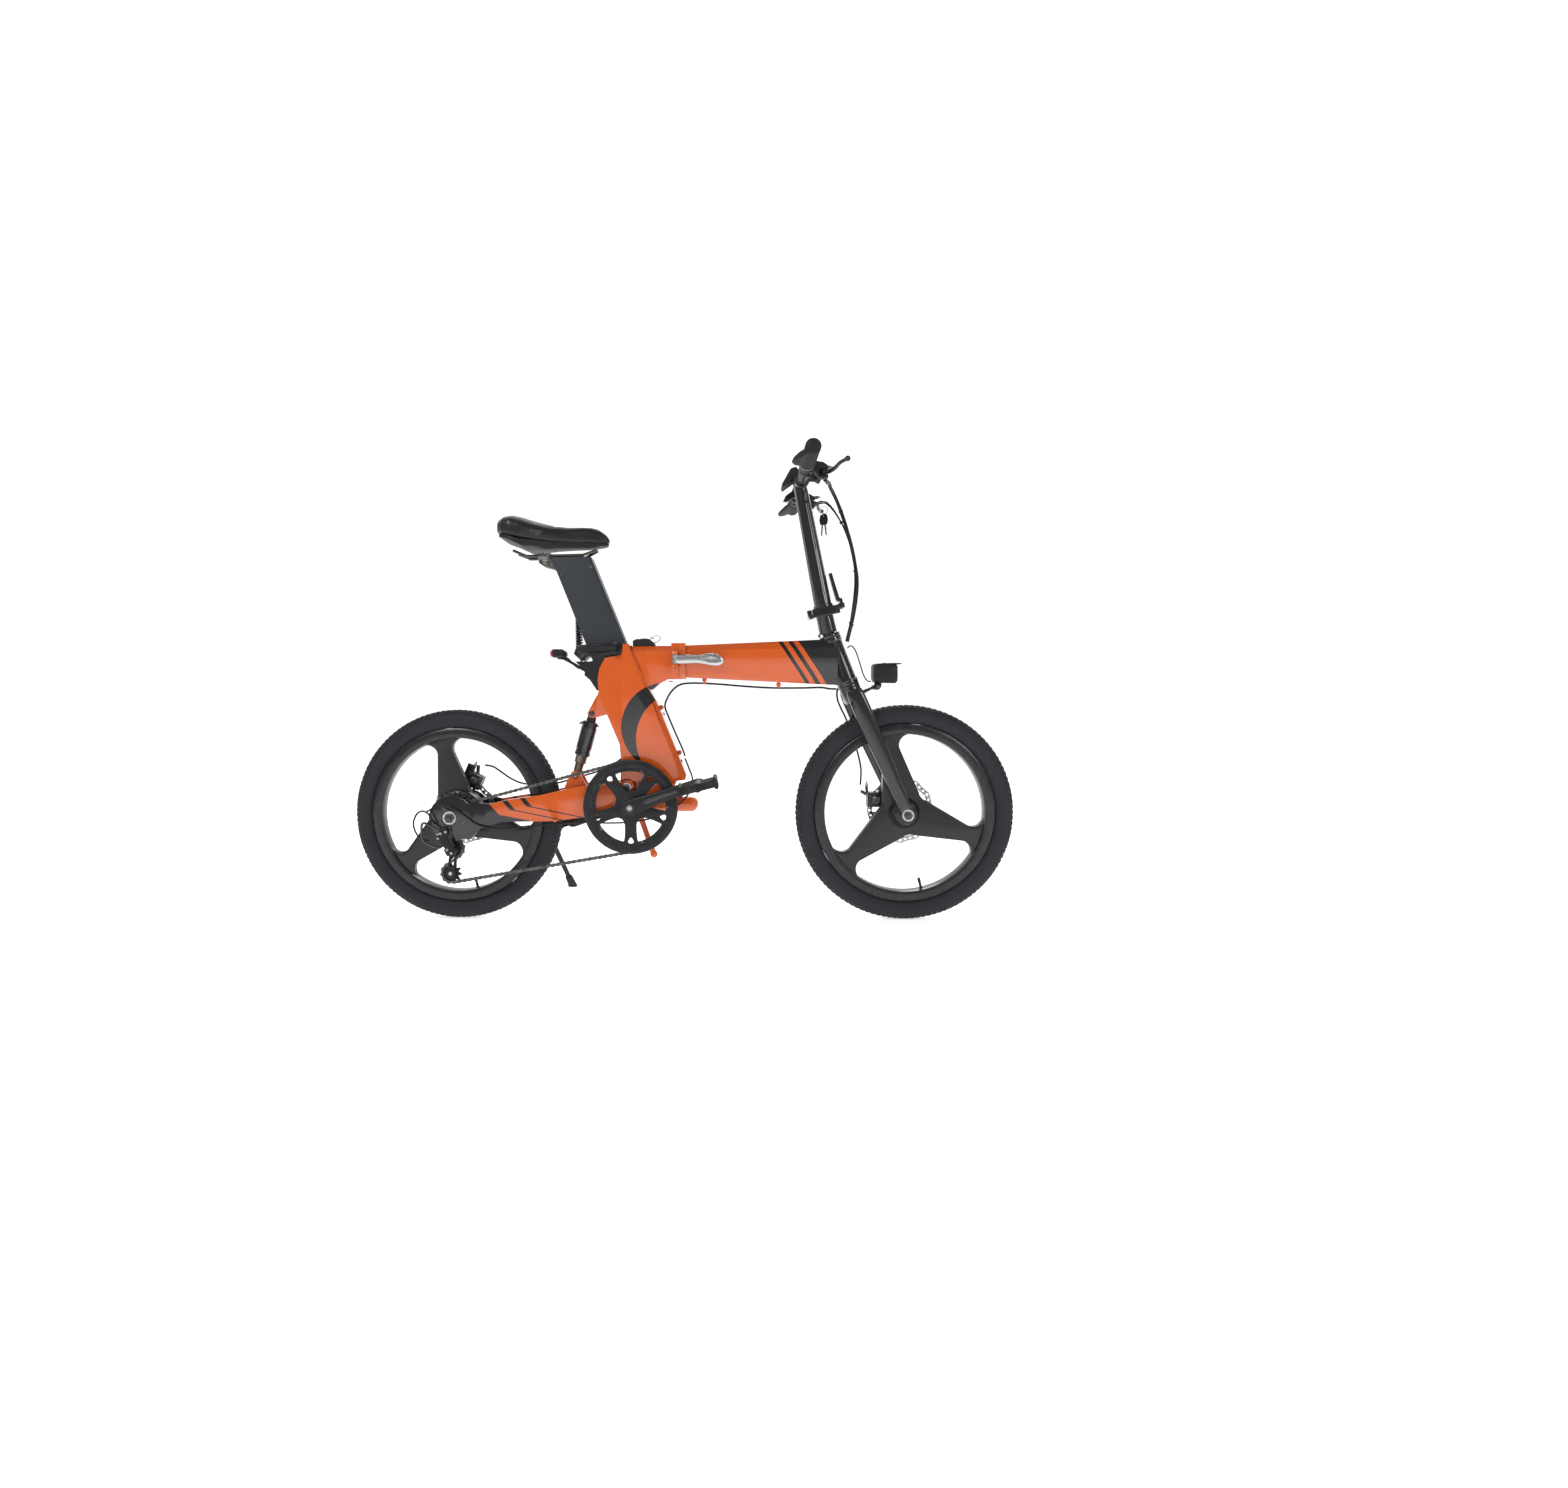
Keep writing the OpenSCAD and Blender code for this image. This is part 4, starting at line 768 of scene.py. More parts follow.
vinyl = finish("saddle_vinyl", (0.011, 0.0115, 0.013), (0.018, 0.019, 0.021), (0.05, 0.05, 0.05), wear=0.2,
    grain=(1300, 0.00022), rough=0.36, spread=0.25, Coat_Weight=0.25, Coat_Roughness=0.3, **DULL)
thread = finish("black_thread", (0.03, 0.03, 0.032), grain=(3000, 0.0001), rough=0.7, **DULL)
red_lens = finish("red_lens", (0.55, 0.012, 0.010), (0.35, 0.006, 0.006), grain=(900, 0.00004), rough=0.14,
    Coat_Weight=1.0, Coat_Roughness=0.04)
clear_lens = finish("clear_lens", (0.75, 0.78, 0.8), (0.6, 0.63, 0.66), grain=(220, 0.0002), rough=0.08,
    Coat_Weight=1.0, Coat_Roughness=0.03)
screen = finish("screen_glass", (0.006, 0.008, 0.010), (0.012, 0.016, 0.020), grain=(400, 0.000005),
    rough=0.1, Coat_Weight=1.0, Coat_Roughness=0.02)
amber = finish("amber_reflector", (0.75, 0.22, 0.01), (0.6, 0.14, 0.01), grain=(500, 0.0001), rough=0.2,
    Coat_Weight=1.0, Coat_Roughness=0.05)
cell_wrap = finish("cell_wrap", (0.05, 0.35, 0.2), grain=(300, 0.00002), rough=0.4)


# ---- tyres and wheels
def tyre(name, hub, body):
    """A round casing with a raised bead line, a finely ribbed shoulder and rows of small tread blocks."""
    profile = []
    for k in range(33):
        angle = math.radians(-128 + 256 * k / 32)
        groove = 0.45 if k in (5, 27) else (-0.45 if k in (7, 25) else 0)
        profile.append((228 + (24.0 - groove) * math.cos(angle), 24.0 * math.sin(angle)))
    profile += [(211.5, 16.5), (209, 12.5), (213, 11), (222, 14), (222, -14), (213, -11), (209, -12.5),
        (211.5, -16.5)]
    casing = dress(lathe(name, (hub[0], 0, hub[1]), profile, 128), rubber)
    parts = [casing]
    # rows of blocks: lean from the middle of the tread, number, length, width, skew
    rows = [(0, 118, 9, 5.5, 0), (17, 118, 8.5, 5, 14), (-17, 118, 8.5, 5, -14), (34, 132, 7, 5.5, 24),
        (-34, 132, 7, 5.5, -24), (50, 150, 4.5, 7, 10), (-50, 150, 4.5, 7, -10)]
    for lean, count, length, width, skew in rows:
        turn = Matrix.Rotation(math.radians(lean), 3, "X") @ Matrix.Rotation(math.radians(skew), 3, "Z")
        stud = block("stud", (0, 0, 0), (length, width, 2.2), 0.5, turn, 1)
        angle = math.radians(lean)
        path = ring_path(hub, 228 + 24 * math.cos(angle), 24 * math.sin(angle), 360)
        parts.append(repeated("tread", path, stud, count, rubber))
        bpy.data.objects.remove(stud)
    obj = join(name + "_finish", parts)
    place_on(obj, body, "tyre", name, sharp=40)


def blade_windows(hub, first):
    """The three openings between the blades, each a rounded wedge."""
    loops = []
    for k in range(3):
        middle = first + 60 + 120 * k
        corner, reach, blade = 26, 185, 19
        inner_angle = math.degrees(math.asin((blade + corner) / (reach - corner)))
        points = []
        a0, a1 = -60 + inner_angle, 60 - inner_angle
        for i in range(25):
            a = a0 + (a1 - a0) * i / 24
            points.append((reach * math.cos(math.radians(a)), reach * math.sin(math.radians(a))))
        centre_far = Vector(((reach - corner) * math.cos(math.radians(a1)),
            (reach - corner) * math.sin(math.radians(a1))))
        for i in range(1, 13):
            a = a1 + (150 - a1) * i / 12
            points.append((centre_far.x + corner * math.cos(math.radians(a)),
                centre_far.y + corner * math.sin(math.radians(a))))
        near = 74
        for i in range(13):
            a = 150 + 60 * i / 12
            points.append((near + 26 * math.cos(math.radians(a)) + 6, 26 * math.sin(math.radians(a))))
        for i in range(12):
            a = 210 + (360 + a0 - 210) * i / 12
            points.append((centre_far.x + corner * math.cos(math.radians(a)),
                -centre_far.y + corner * math.sin(math.radians(a))))
        loops.append(turned(points, hub, middle))
    return loops


def cast_wheel(name, hub, body, hub_profile, face_bolts):
    disc_plate = plate("blades", [circle(hub, 199, 120)] + blade_windows(hub, 101), -12, 12, 5, 4)
    dress(disc_plate, cast_black)
    rim = lathe("rim", (hub[0], 0, hub[1]), [
        (184.5, -12), (186, -16), (190, -17.5), (206, -17), (208.5, -15.5), (208.5, -12.5), (206, -11.5),
        (196, -11),
        (193, -9), (193, 9), (196, 11), (206, 11.5), (208.5, 12.5), (208.5, 15.5), (206, 17), (190, 17.5),
        (186, 16), (184.5, 12)], 128)
    dress(rim, cast_black)
    core = dress(lathe("hub", (hub[0], 0, hub[1]), hub_profile, 72), cast_black)
    parts = [disc_plate, rim, core]
    for radius, y, size, count in face_bolts:
        head = bolt("head", (0, 0, 0), (0, math.copysign(1, y), 0), size, 2.6)
        ring = repeated("bolts", ring_path(hub, radius, y, 48), head, count, dark_steel)
        bpy.data.objects.remove(head)
        parts.append(ring)
    # the valve, with its nut and cap
    lean = math.radians(-77)
    inward = Vector((-math.cos(lean), 0, -math.sin(lean)))
    foot = Vector((hub[0], 0, hub[1])) - inward * 186
    parts.append(dress(lathe("valve", foot, [(0, -2), (5.5, -2), (5.5, 1.5), (3.1, 2.5), (3.0, 15),
        (2.6, 15.3), (2.6, 16), (3.4, 16.4), (3.4, 24.5), (2.6, 26), (0, 26)],
        16, closed=False, axis=inward), plastic))
    obj = join(name + "_finish", parts)
    place_on(obj, body, "black_paint", name, sharp=40)


tyre("front_tyre", FRONT_HUB, "front_wheel")
tyre("rear_tyre", REAR_HUB, "rear_wheel")
cast_wheel("front_rim", FRONT_HUB, "front_wheel", [
    (6.6, -35.6), (20, -35.6), (24, -34), (27, -30), (31, -16), (40, -9), (44, 0), (40, 9), (31, 16),
    (27, 30), (26.5, 35.6), (6.6, 35.6)], [])
cast_wheel("rear_rim", REAR_HUB, "rear_wheel", [
    (15.6, -21.6), (40, -21.6), (56, -20), (60, -16), (62, -8), (62, 14), (60, 22), (54, 27), (36, 29),
    (33.5, 33), (33, 43.6), (15.6, 43.6)], [(51, -21, 3.2, 9), (50, 27.2, 3.2, 9)])


def rotor(name, hub, y, body):
    """A wave-edged brake rotor with drilled lands and leaning arms."""
    outer, inner = [], []
    for k in range(144):
        a = 2 * math.pi * k / 144
        wave = math.cos(12 * a)
        outer.append((hub[0] + (78.2 + 1.6 * wave) * math.cos(a), hub[1] + (78.2 + 1.6 * wave) * math.sin(a)))
        inner.append((hub[0] + (65.4 + 1.6 * wave) * math.cos(a), hub[1] + (65.4 + 1.6 * wave) * math.sin(a)))
    holes = []
    for k in range(36):
        a = 2 * math.pi * k / 36
        r = 71.8 + 1.6 * math.cos(12 * a)
        holes.append(circle((hub[0] + r * math.cos(a), hub[1] + r * math.sin(a)), 2.5 if k % 3 else 3.1, 12))
    ring = plate("ring", [outer, inner] + holes, y - 0.9, y + 0.9, 0.25, 1)
    lean = turned([(24, -5), (34, -4), (52, -3), (67, -5), (67, 5), (52, 3), (34, 5), (24, 7)], (0, 0), 7)
    arm = plate("arm", [lean], y - 0.8, y + 0.8, 0.2, 1)
    parts = [ring, plate("centre", [circle(hub, 27, 48), circle(hub, 17, 32)], y - 0.9, y + 0.9, 0.25, 1)]
    for k in range(6):
        copy = arm.copy()
        copy.data = arm.data.copy()
        scene.collection.objects.link(copy)
        copy.data.transform(Matrix.Translation((hub[0] * MM, 0,
            hub[1] * MM)) @ Matrix.Rotation(math.radians(60 * k), 4, "Y"))
        parts.append(copy)
    bpy.data.objects.remove(arm)
    for part in parts:
        dress(part, steel)
    head = bolt("head", (0, 0, 0), (0, 1, 0), 4.2, 2.2)
    bolts = repeated("bolts", ring_path(hub, 22, y + 0.8, 48), head, 6, dark_steel)
    bpy.data.objects.remove(head)
    obj = join(name + "_finish", parts + [bolts])
    place_on(obj, body, "steel", name)


rotor("front_rotor", FRONT_HUB, 37.2, "front_wheel")
rotor("rear_rotor", REAR_HUB, 45.2, "rear_wheel")


# ---- frame, latch and fittings
def beads(name, route, pitch, radius, material):
    """A weld seam: overlapping ripples along a route."""
    path = smooth_route(route, 60)
    length = sum((b - a).length for a, b in zip(path, path[1:]))
    ripple = block("ripple", (0, 0, 0), (radius * 1.9, radius * 1.7, radius * 1.2), radius * 0.5, None, 2)
    seam = repeated(name, path, ripple, max(3, int(length / pitch)), material, closed=False, uneven=0.25)
    bpy.data.objects.remove(ripple)
    return seam


def both_sides(route):
    return [route, [(x, -y, z) for x, y, z in route]]


rear_shell = dress(refined("rear_frame", 1.6, 3), orange_rear)
extras = []
for route in both_sides([(-100, 30.5, 640), (-88, 34, 604), (-74, 36.5, 568), (-63, 38, 550)]):
    extras.append(beads("weld", route, 2.2, 1.5, orange_plain))
for y in (-34, 34):
    extras.append(beads("weld", [(x, y * 0.98, z) for x, z in circle(CRANK, 24.4, 24)], 2.2, 1.3,
        orange_plain))
for x, z in ((-37, 506), (5, 398)):
    extras.append(dress(lathe("ferrule", (x - 2, 0, z), [(0, -7), (2.4, -7), (2.4, 7), (0, 7)], 12, False),
        dark_steel))
# bolts that close the controller bay, along the front edge
for share in (0.12, 0.88):
    spot = Vector((-38, 0, 508)).lerp(Vector((16, 0, 360)), share)
    extras.append(dress(bolt("bolt", spot, (0.92, 0, 0.37), 4, 2.4), dark_steel))
# clips that hold the cables under the tube stub
extras.append(dress(block("clip", (-12, -5.5, 567), (9, 17, 3), 1.0), orange_plain))
rear_piece = join("rear_frame_finish_full", [rear_shell] + extras)
place_on(rear_piece, "rear_frame", "orange_paint", "rear_frame")

front_shell = dress(refined("front_frame", 1.4, 3), orange_front)
extras = []
for route in both_sides([(25, 22, 580), (25, 30.6, 590), (25, 30.6, 636), (25, 20, 650.5)]):
    extras.append(beads("weld", route, 2.2, 1.4, orange_plain))
head_axis = Vector((-math.sin(math.radians(HEAD_LEAN)), 0, math.cos(math.radians(HEAD_LEAN))))
for route in both_sides([(357, 19, 655), (368, 22.5, 630), (380, 23.5, 600), (393, 20, 566)]):
    extras.append(beads("weld", route, 2.2, 1.6, orange_front))
for x, z in ((67, 568), (241, 556)):
    extras.append(dress(block("clip", (x, -5.5, z - 5), (8, 15, 3.4), 1.0), orange_front))
for place in (9, 109):
    spot = HEAD_FOOT + head_axis * place
    for r in (25.2,):
        extras.append(dress(lathe("ring", spot, [(r - 1, -3), (r + 0.6, -1.5), (r + 0.6, 1.5), (r - 1, 3)],
            64, True, head_axis), black_gloss))
front_piece = join("front_frame_finish_full", [front_shell] + extras)
place_on(front_piece, "front_frame", "orange_paint", "front_frame")


def latch_lever():
    """The cast alloy lever that locks the two halves: boss, waisted arm and dished paddle."""
    sections = []
    table = [(2, 617.5, 5.6, 10.6), (14, 617.5, 5.0, 10.6), (30, 617.8, 4.4, 10.2), (46, 617.6, 4.2, 9.2),
        (58, 617.4, 4.3, 9.8), (70, 617.2, 4.6, 12.0), (82, 616.6, 4.9, 14.0), (94, 615.4, 4.8, 13.6),
        (104, 613.8, 4.2, 11.0), (110, 612.8, 3.2, 6.6), (112.5, 612.4, 1.6, 3.0)]
    for x, z, half_y, half_z in table:
        bow = 1.4 * math.sin(math.pi * x / 112)
        sections.append(((x, -48 - bow, z), (0, half_y, 0), (0, 0, half_z)))
    arm = loft("arm", sections, 40, 2.6)
    for v in arm.data.vertices:
        co = v.co / MM
        dish = math.exp(-((co.x - 86) / 13) ** 2 - ((co.z - 616) / 7) ** 2)
        if co.y < -50:
            v.co.y += 2.0 * dish * MM
    boss = lathe("boss", (0, -47, 0), [(3.3, 607), (6.6, 607), (7.2, 607.8), (7.2, 628.2), (6.6, 629),
        (3.3, 629)], 32, True, Vector((0, 0, 1)))
    return join("frame_lever_finish", [dress(arm, alloy), dress(boss, alloy)])


place_on(latch_lever(), "frame_lever", "polished_alloy", "frame_lever")
pins = dress(refined("hinge_pins", 0.5), dark_steel)
nut = dress(bolt("nut", (-117, -42.6, 320), (0, -1, 0), 8.6, 4.5), dark_steel)
washer = dress(lathe("washer", (-117, -43.2, 320), [(5, -0.8), (10.5, -0.8), (10.5, 0.2), (5, 0.2)], 32),
    steel)
place_on(join("hinge_pins_finish_full", [pins, nut, washer]), "rear_frame", "steel", "hinge_pins")
place_on(dress(refined("bracket_bearings", 0.6), dark_steel), "rear_frame", "steel", "bracket_bearings")
place_on(dress(refined("motor_controller", 2.0), alloy), "rear_frame", "polished_alloy", "motor_controller")
place_on(dress(refined("headset", 0.8), black_gloss), "front_frame", "black_paint", "headset")

# ---- battery socket, collar, lock and tail light
place_on(dress(refined("battery_socket", 1.2, 3), black_satin), "rear_frame", "black_paint", "battery_socket")
collar = dress(refined("seat_collar", 1.6, 3), black_satin)
extras = [dress(bolt("bolt", (-141, -47, 656.5), (0, 0, 1), 5.4, 4), dark_steel),
    dress(bolt("bolt", (-225, -40.5, 640), (0, -1, 0), 4, 2.2), dark_steel),
    dress(bolt("bolt", (-135, 40.5, 645), (0, 1, 0), 4, 2.2), dark_steel)]
place_on(join("seat_collar_finish_full", [collar] + extras), "rear_frame", "black_paint", "seat_collar")


def quick_release():
    boss = lathe("boss", (-141, -47, 0), [(3.3, 639.2), (5.4, 639.2), (6, 640), (6, 651), (5.4, 651.5),
        (3.3, 651.5)], 28, True, Vector((0, 0, 1)))
    table = [(-144, 3.2, 5.4), (-160, 3.0, 5.6), (-182, 2.8, 5.8), (-204, 3.2, 6.2), (-218, 3.6, 6.3),
        (-224.5, 1.8, 4)]
    arm = loft("arm", [((x, -50.4 - 1.6 * math.sin((x + 141) / 84 * math.pi), 645.3), (0, a, 0), (0, 0, b))
        for x, a, b in table], 28, 2.6)
    return join("seat_lever_finish", [dress(boss, plastic), dress(arm, plastic)])


place_on(quick_release(), "seat_lever", "black_plastic", "seat_lever")
lock = dress(refined("battery_lock", 2.2, 4, keep=lambda co: co.x < -52 or co.z < 664), plastic)
wire = [(-49 + 10.5 * math.cos(a) * 1.15, 0.8 * math.sin(2 * a), 668.5 + 8 * math.sin(a) + 2.5 * math.cos(a))
    for a in [2 * math.pi * k / 40 for k in range(41)]]
barrel = lathe("barrel", (-76, 0, 668), [(0, -2), (9, -2), (9, 1.2), (8.2, 1.8), (4, 1.8), (3.6, 0.8),
    (0, 0.8)], 32, False, Vector((0, 0, 1)))
place_on(join("battery_lock_finish_full", [lock, dress(tube("wire", wire, 0.9, 8), steel),
    dress(barrel, dark_steel)]), "rear_frame", "black_plastic", "battery_lock")


def tail_light():
    housing = loft("housing", [((-293, 0, 637.6), (0, 20.5, 0), (0, 0, 9.8)),
        ((-286, 0, 637.6), (0, 21, 0), (0, 0, 10.2)), ((-271, 0, 637.6), (0, 20, 0), (0, 0, 9.6)),
        ((-264, 0, 636), (0, 15, 0), (0, 0, 6.4)), ((-262, 0, 635), (0, 12, 0), (0, 0, 4.4))], 40, 5)
    lens = loft("lens", [((-293, 0, 637.6), (0, 19.8, 0), (0, 0, 9.2)),
        ((-296, 0, 637.6), (0, 19.6, 0), (0, 0, 9.0)),
        ((-298, 0, 637.6), (0, 17.6, 0), (0, 0, 7.4))], 40, 5)
    rib = block("rib", (0, 0, 0), (16, 1.0, 1.0), 0.3, None, 1)
    ribs = repeated("ribs", [(-298.1, -15, 637.6), (-298.1, 15, 637.6)], rib, 12, red_lens, (0, 0, 1),
        closed=False)
    bpy.data.objects.remove(rib)
    arm = tube("arm", smooth_route([(-284, 0, 627), (-270, 0, 625.5), (-252, 0, 616), (-230, 0, 603),
        (-215.5, 0, 594.5)], 24), 3.4, 14)
    plate_ = block("foot", (-217, 0, 595), (6, 17, 9), 1.2, Matrix.Rotation(math.radians(-30), 3, "Y"))
    lead = tube("lead", smooth_route([(-268, 4, 630), (-258, 6, 624), (-242, 6, 606), (-228, 6, 600),
        (-216, 5, 600)], 24), 1.6, 10)
    parts = [dress(housing, plastic), dress(lens, red_lens), ribs, dress(arm, black_satin),
        dress(plate_, black_satin),
        dress(lead, cable_skin), dress(bolt("bolt", (-279, 0, 627.5), (0, 0, -1), 3.4, 3), dark_steel)]
    return join("tail_light_finish", parts)


place_on(tail_light(), "rear_frame", "red_lens", "tail_light")

# ---- battery and saddle
battery = dress(refined("battery_case", 2.2, 4), battery_grey)
seat_axis = Vector((-math.sin(math.radians(SEAT_LEAN)), 0, math.cos(math.radians(SEAT_LEAN))))
seat_fore = Vector((math.cos(math.radians(SEAT_LEAN)), 0, math.sin(math.radians(SEAT_LEAN))))


def on_seat(fore, side, up):
    return SEAT_REF + seat_fore * fore + Vector((0, side, 0)) + seat_axis * up


socket = lathe("socket", on_seat(-30, 30, 112), [(0, -1), (9, -1), (9, 2.4), (8, 3.2), (5, 3.2), (5, 1),
    (0, 1)], 32, False, Vector((0, 1, 0)))
gauge = block("gauge", on_seat(24, 30.1, 130), (14, 1.6, 40), 0.7,
    Matrix.Rotation(math.radians(-SEAT_LEAN), 3, "Y"))
dots = [dress(lathe("dot", on_seat(24, 30.9, 118 + 8 * k), [(0, -0.4), (1.8, -0.4), (1.8, 0.3), (0, 0.5)],
    14, False), red_lens if k == 0 else clear_lens) for k in range(4)]
screws = [dress(bolt("bolt", on_seat(f, s * 30, u), (0, s, 0), 3.2, 1.4), dark_steel)
    for f, u in ((-36, 142), (36, 134)) for s in (-1, 1)]
place_on(join("battery_case_finish_full", [battery, dress(socket, plastic),
    dress(gauge, plastic)] + dots + screws), "seatpost", "battery_grey", "battery_case")
place_on(dress(refined("battery_cells", 0.8), cell_wrap), "seatpost", "cell_wrap", "battery_cells")
clamp = dress(refined("saddle_clamp", 1.0, 3), dark_steel)
clamp_bolts = [dress(bolt("bolt", (x, y, 871), (0, 0, 1), 4, 4), steel) for x, y in ((-307, -22), (-307, 22))]
place_on(join("saddle_clamp_finish_full", [clamp] + clamp_bolts), "seatpost", "black_paint", "saddle_clamp")

# spine of the saddle: x, half width, underside, top at the middle, how far the flanks drop
SADDLE = [(-417, 30, 916, 936, 2), (-410, 55, 911, 949, 4), (-396, 70, 906, 956.5, 6),
    (-378, 75, 901, 958.5, 8), (-355, 73, 898, 953, 9), (-330, 62, 896, 944, 9), (-305, 48, 894, 937, 8),
    (-280, 37, 893, 932.5, 7),
    (-250, 29, 892, 931, 6), (-220, 25, 891, 931, 6), (-195, 22, 890, 929.5, 5), (-176, 19, 889, 924, 5),
    (-162, 14, 888.5, 914, 4), (-154, 7, 892, 903, 2)]


def saddle_pad():
    bm = bmesh.new()
    rings = []
    count = 40
    for x, half, low, high, drop in SADDLE:
        ring = []
        for k in range(count):
            a = 2 * math.pi * k / count
            c, s = math.cos(a), math.sin(a)
            y = half * math.copysign(abs(c) ** 0.72, c)
            rise = (high - low) * (0.5 + 0.5 * math.copysign(abs(s) ** 0.62, s))
            z = low + 3 + rise * (1 - 0.14 * (abs(y) / half) ** 2)
            z -= (drop if s < 0 else 0) * (abs(y) / half) ** 2
            ring.append(bm.verts.new(Vector((x, y, z)) * MM))
        rings.append(ring)
    for one, two in zip(rings, rings[1:]):
        for k in range(count):
            j = (k + 1) % count
            bm.faces.new((one[k], one[j], two[j], two[k]))
    bm.faces.new(rings[0])
    bm.faces.new(rings[-1])
    bmesh.ops.recalc_face_normals(bm, faces=bm.faces)
    return new_object("saddle_cushion_finish", mesh_of(bm, "saddle_cushion_finish"))


def swell(obj, voxel, pressure, cap):
    """Lets the cover swell over its foam in a short cloth run, then caps how far it may move."""
    remesh = obj.modifiers.new("even", "REMESH")
    remesh.mode, remesh.voxel_size = "VOXEL", voxel * MM
    obj = baked(obj)
    rest = [v.co.copy() for v in obj.data.vertices]
    low = min(v.z for v in rest)
    group = obj.vertex_groups.new(name="held")
    group.add([i for i, v in enumerate(rest) if v.z < low + 0.012 + 0.006 * (v.x > -0.2)], 1.0, "REPLACE")
    cloth = obj.modifiers.new("cloth", "CLOTH")
    cloth.settings.use_pressure = True
    cloth.settings.uniform_pressure_force = pressure
    cloth.settings.effector_weights.gravity = 0
    cloth.settings.vertex_group_mass = "held"
    cloth.settings.quality = 6
    cloth.settings.tension_stiffness = cloth.settings.compression_stiffness = 30
    cloth.point_cache.frame_start, cloth.point_cache.frame_end = 1, 16
    for number in range(1, 17):
        scene.frame_set(number)
    obj = baked(obj)
    scene.frame_set(1)
    for v, start in zip(obj.data.vertices, rest):
        move = v.co - start
        if move.length > cap * MM:
            v.co = start + move.normalized() * cap * MM
    return obj


pad = swell(saddle_pad(), 4.5, 3.0, 3.5)


def dress_saddle(pad):
    """A pressure channel down the middle and a sewn line round the crown."""
    for v in pad.data.vertices:
        co = v.co / MM
        half = max(8.0, 75 * math.exp(-((co.x + 382) / 95) ** 2) + 14)
        top = co.z > 905 + 14 * (co.x < -330)
        if top and -392 < co.x < -180:
            fade = min(1, (co.x + 392) / 30, (-180 - co.x) / 40)
            v.co.z -= 3.2 * MM * max(0, fade) * math.exp(-(co.y / 5.5) ** 2)
    smoother = pad.modifiers.new("smooth", "SUBSURF")
    smoother.levels = smoother.render_levels = 1
    pad = baked(pad)
    seam = seam_line()
    for v in pad.data.vertices:
        co = v.co / MM
        near = min((co - p).length for p in seam[::2])
        if near < 6:
            v.co -= v.normal * 1.3 * MM * math.exp(-(near / 1.8) ** 2)
    return dress(pad, vinyl)


def seam_line():
    """Where the top panel is sewn to the side panel."""
    points = []
    for side in (1, -1):
        rows = SADDLE[1:-1] if side > 0 else list(reversed(SADDLE[1:-1]))
        for x, half, low, high, drop in rows:
            points.append((x, side * half * 0.93, low + (high - low) * 0.52))
    points.append(points[0])
    return smooth_route(points, 240)


pad = dress_saddle(pad)
from_above = [p + Vector((0, 0, 1.4)) for p in seam_line()]
stitch = block("stitch", (0, 0, 0), (3.2, 0.9, 0.9), 0.3, None, 1)
stitches = repeated("saddle_stitches", from_above, stitch, 150, thread, (0, 0, 1), uneven=0.1)
bpy.data.objects.remove(stitch)
place_on(pad, "seatpost", "saddle_vinyl", "saddle_cushion", sharp=60)
place_on(stitches, "seatpost", "saddle_vinyl")
place_on(dress(refined("saddle_shell", 2.0, 3), plastic), "seatpost", "black_plastic", "saddle_shell")


# ---- fork, stem and headlight
def on_head(side_x, side_y, up):
    fore = Vector((math.cos(math.radians(HEAD_LEAN)), 0, math.sin(math.radians(HEAD_LEAN))))
    return HEAD_FOOT + fore * side_x + Vector((0, side_y, 0)) + head_axis * up


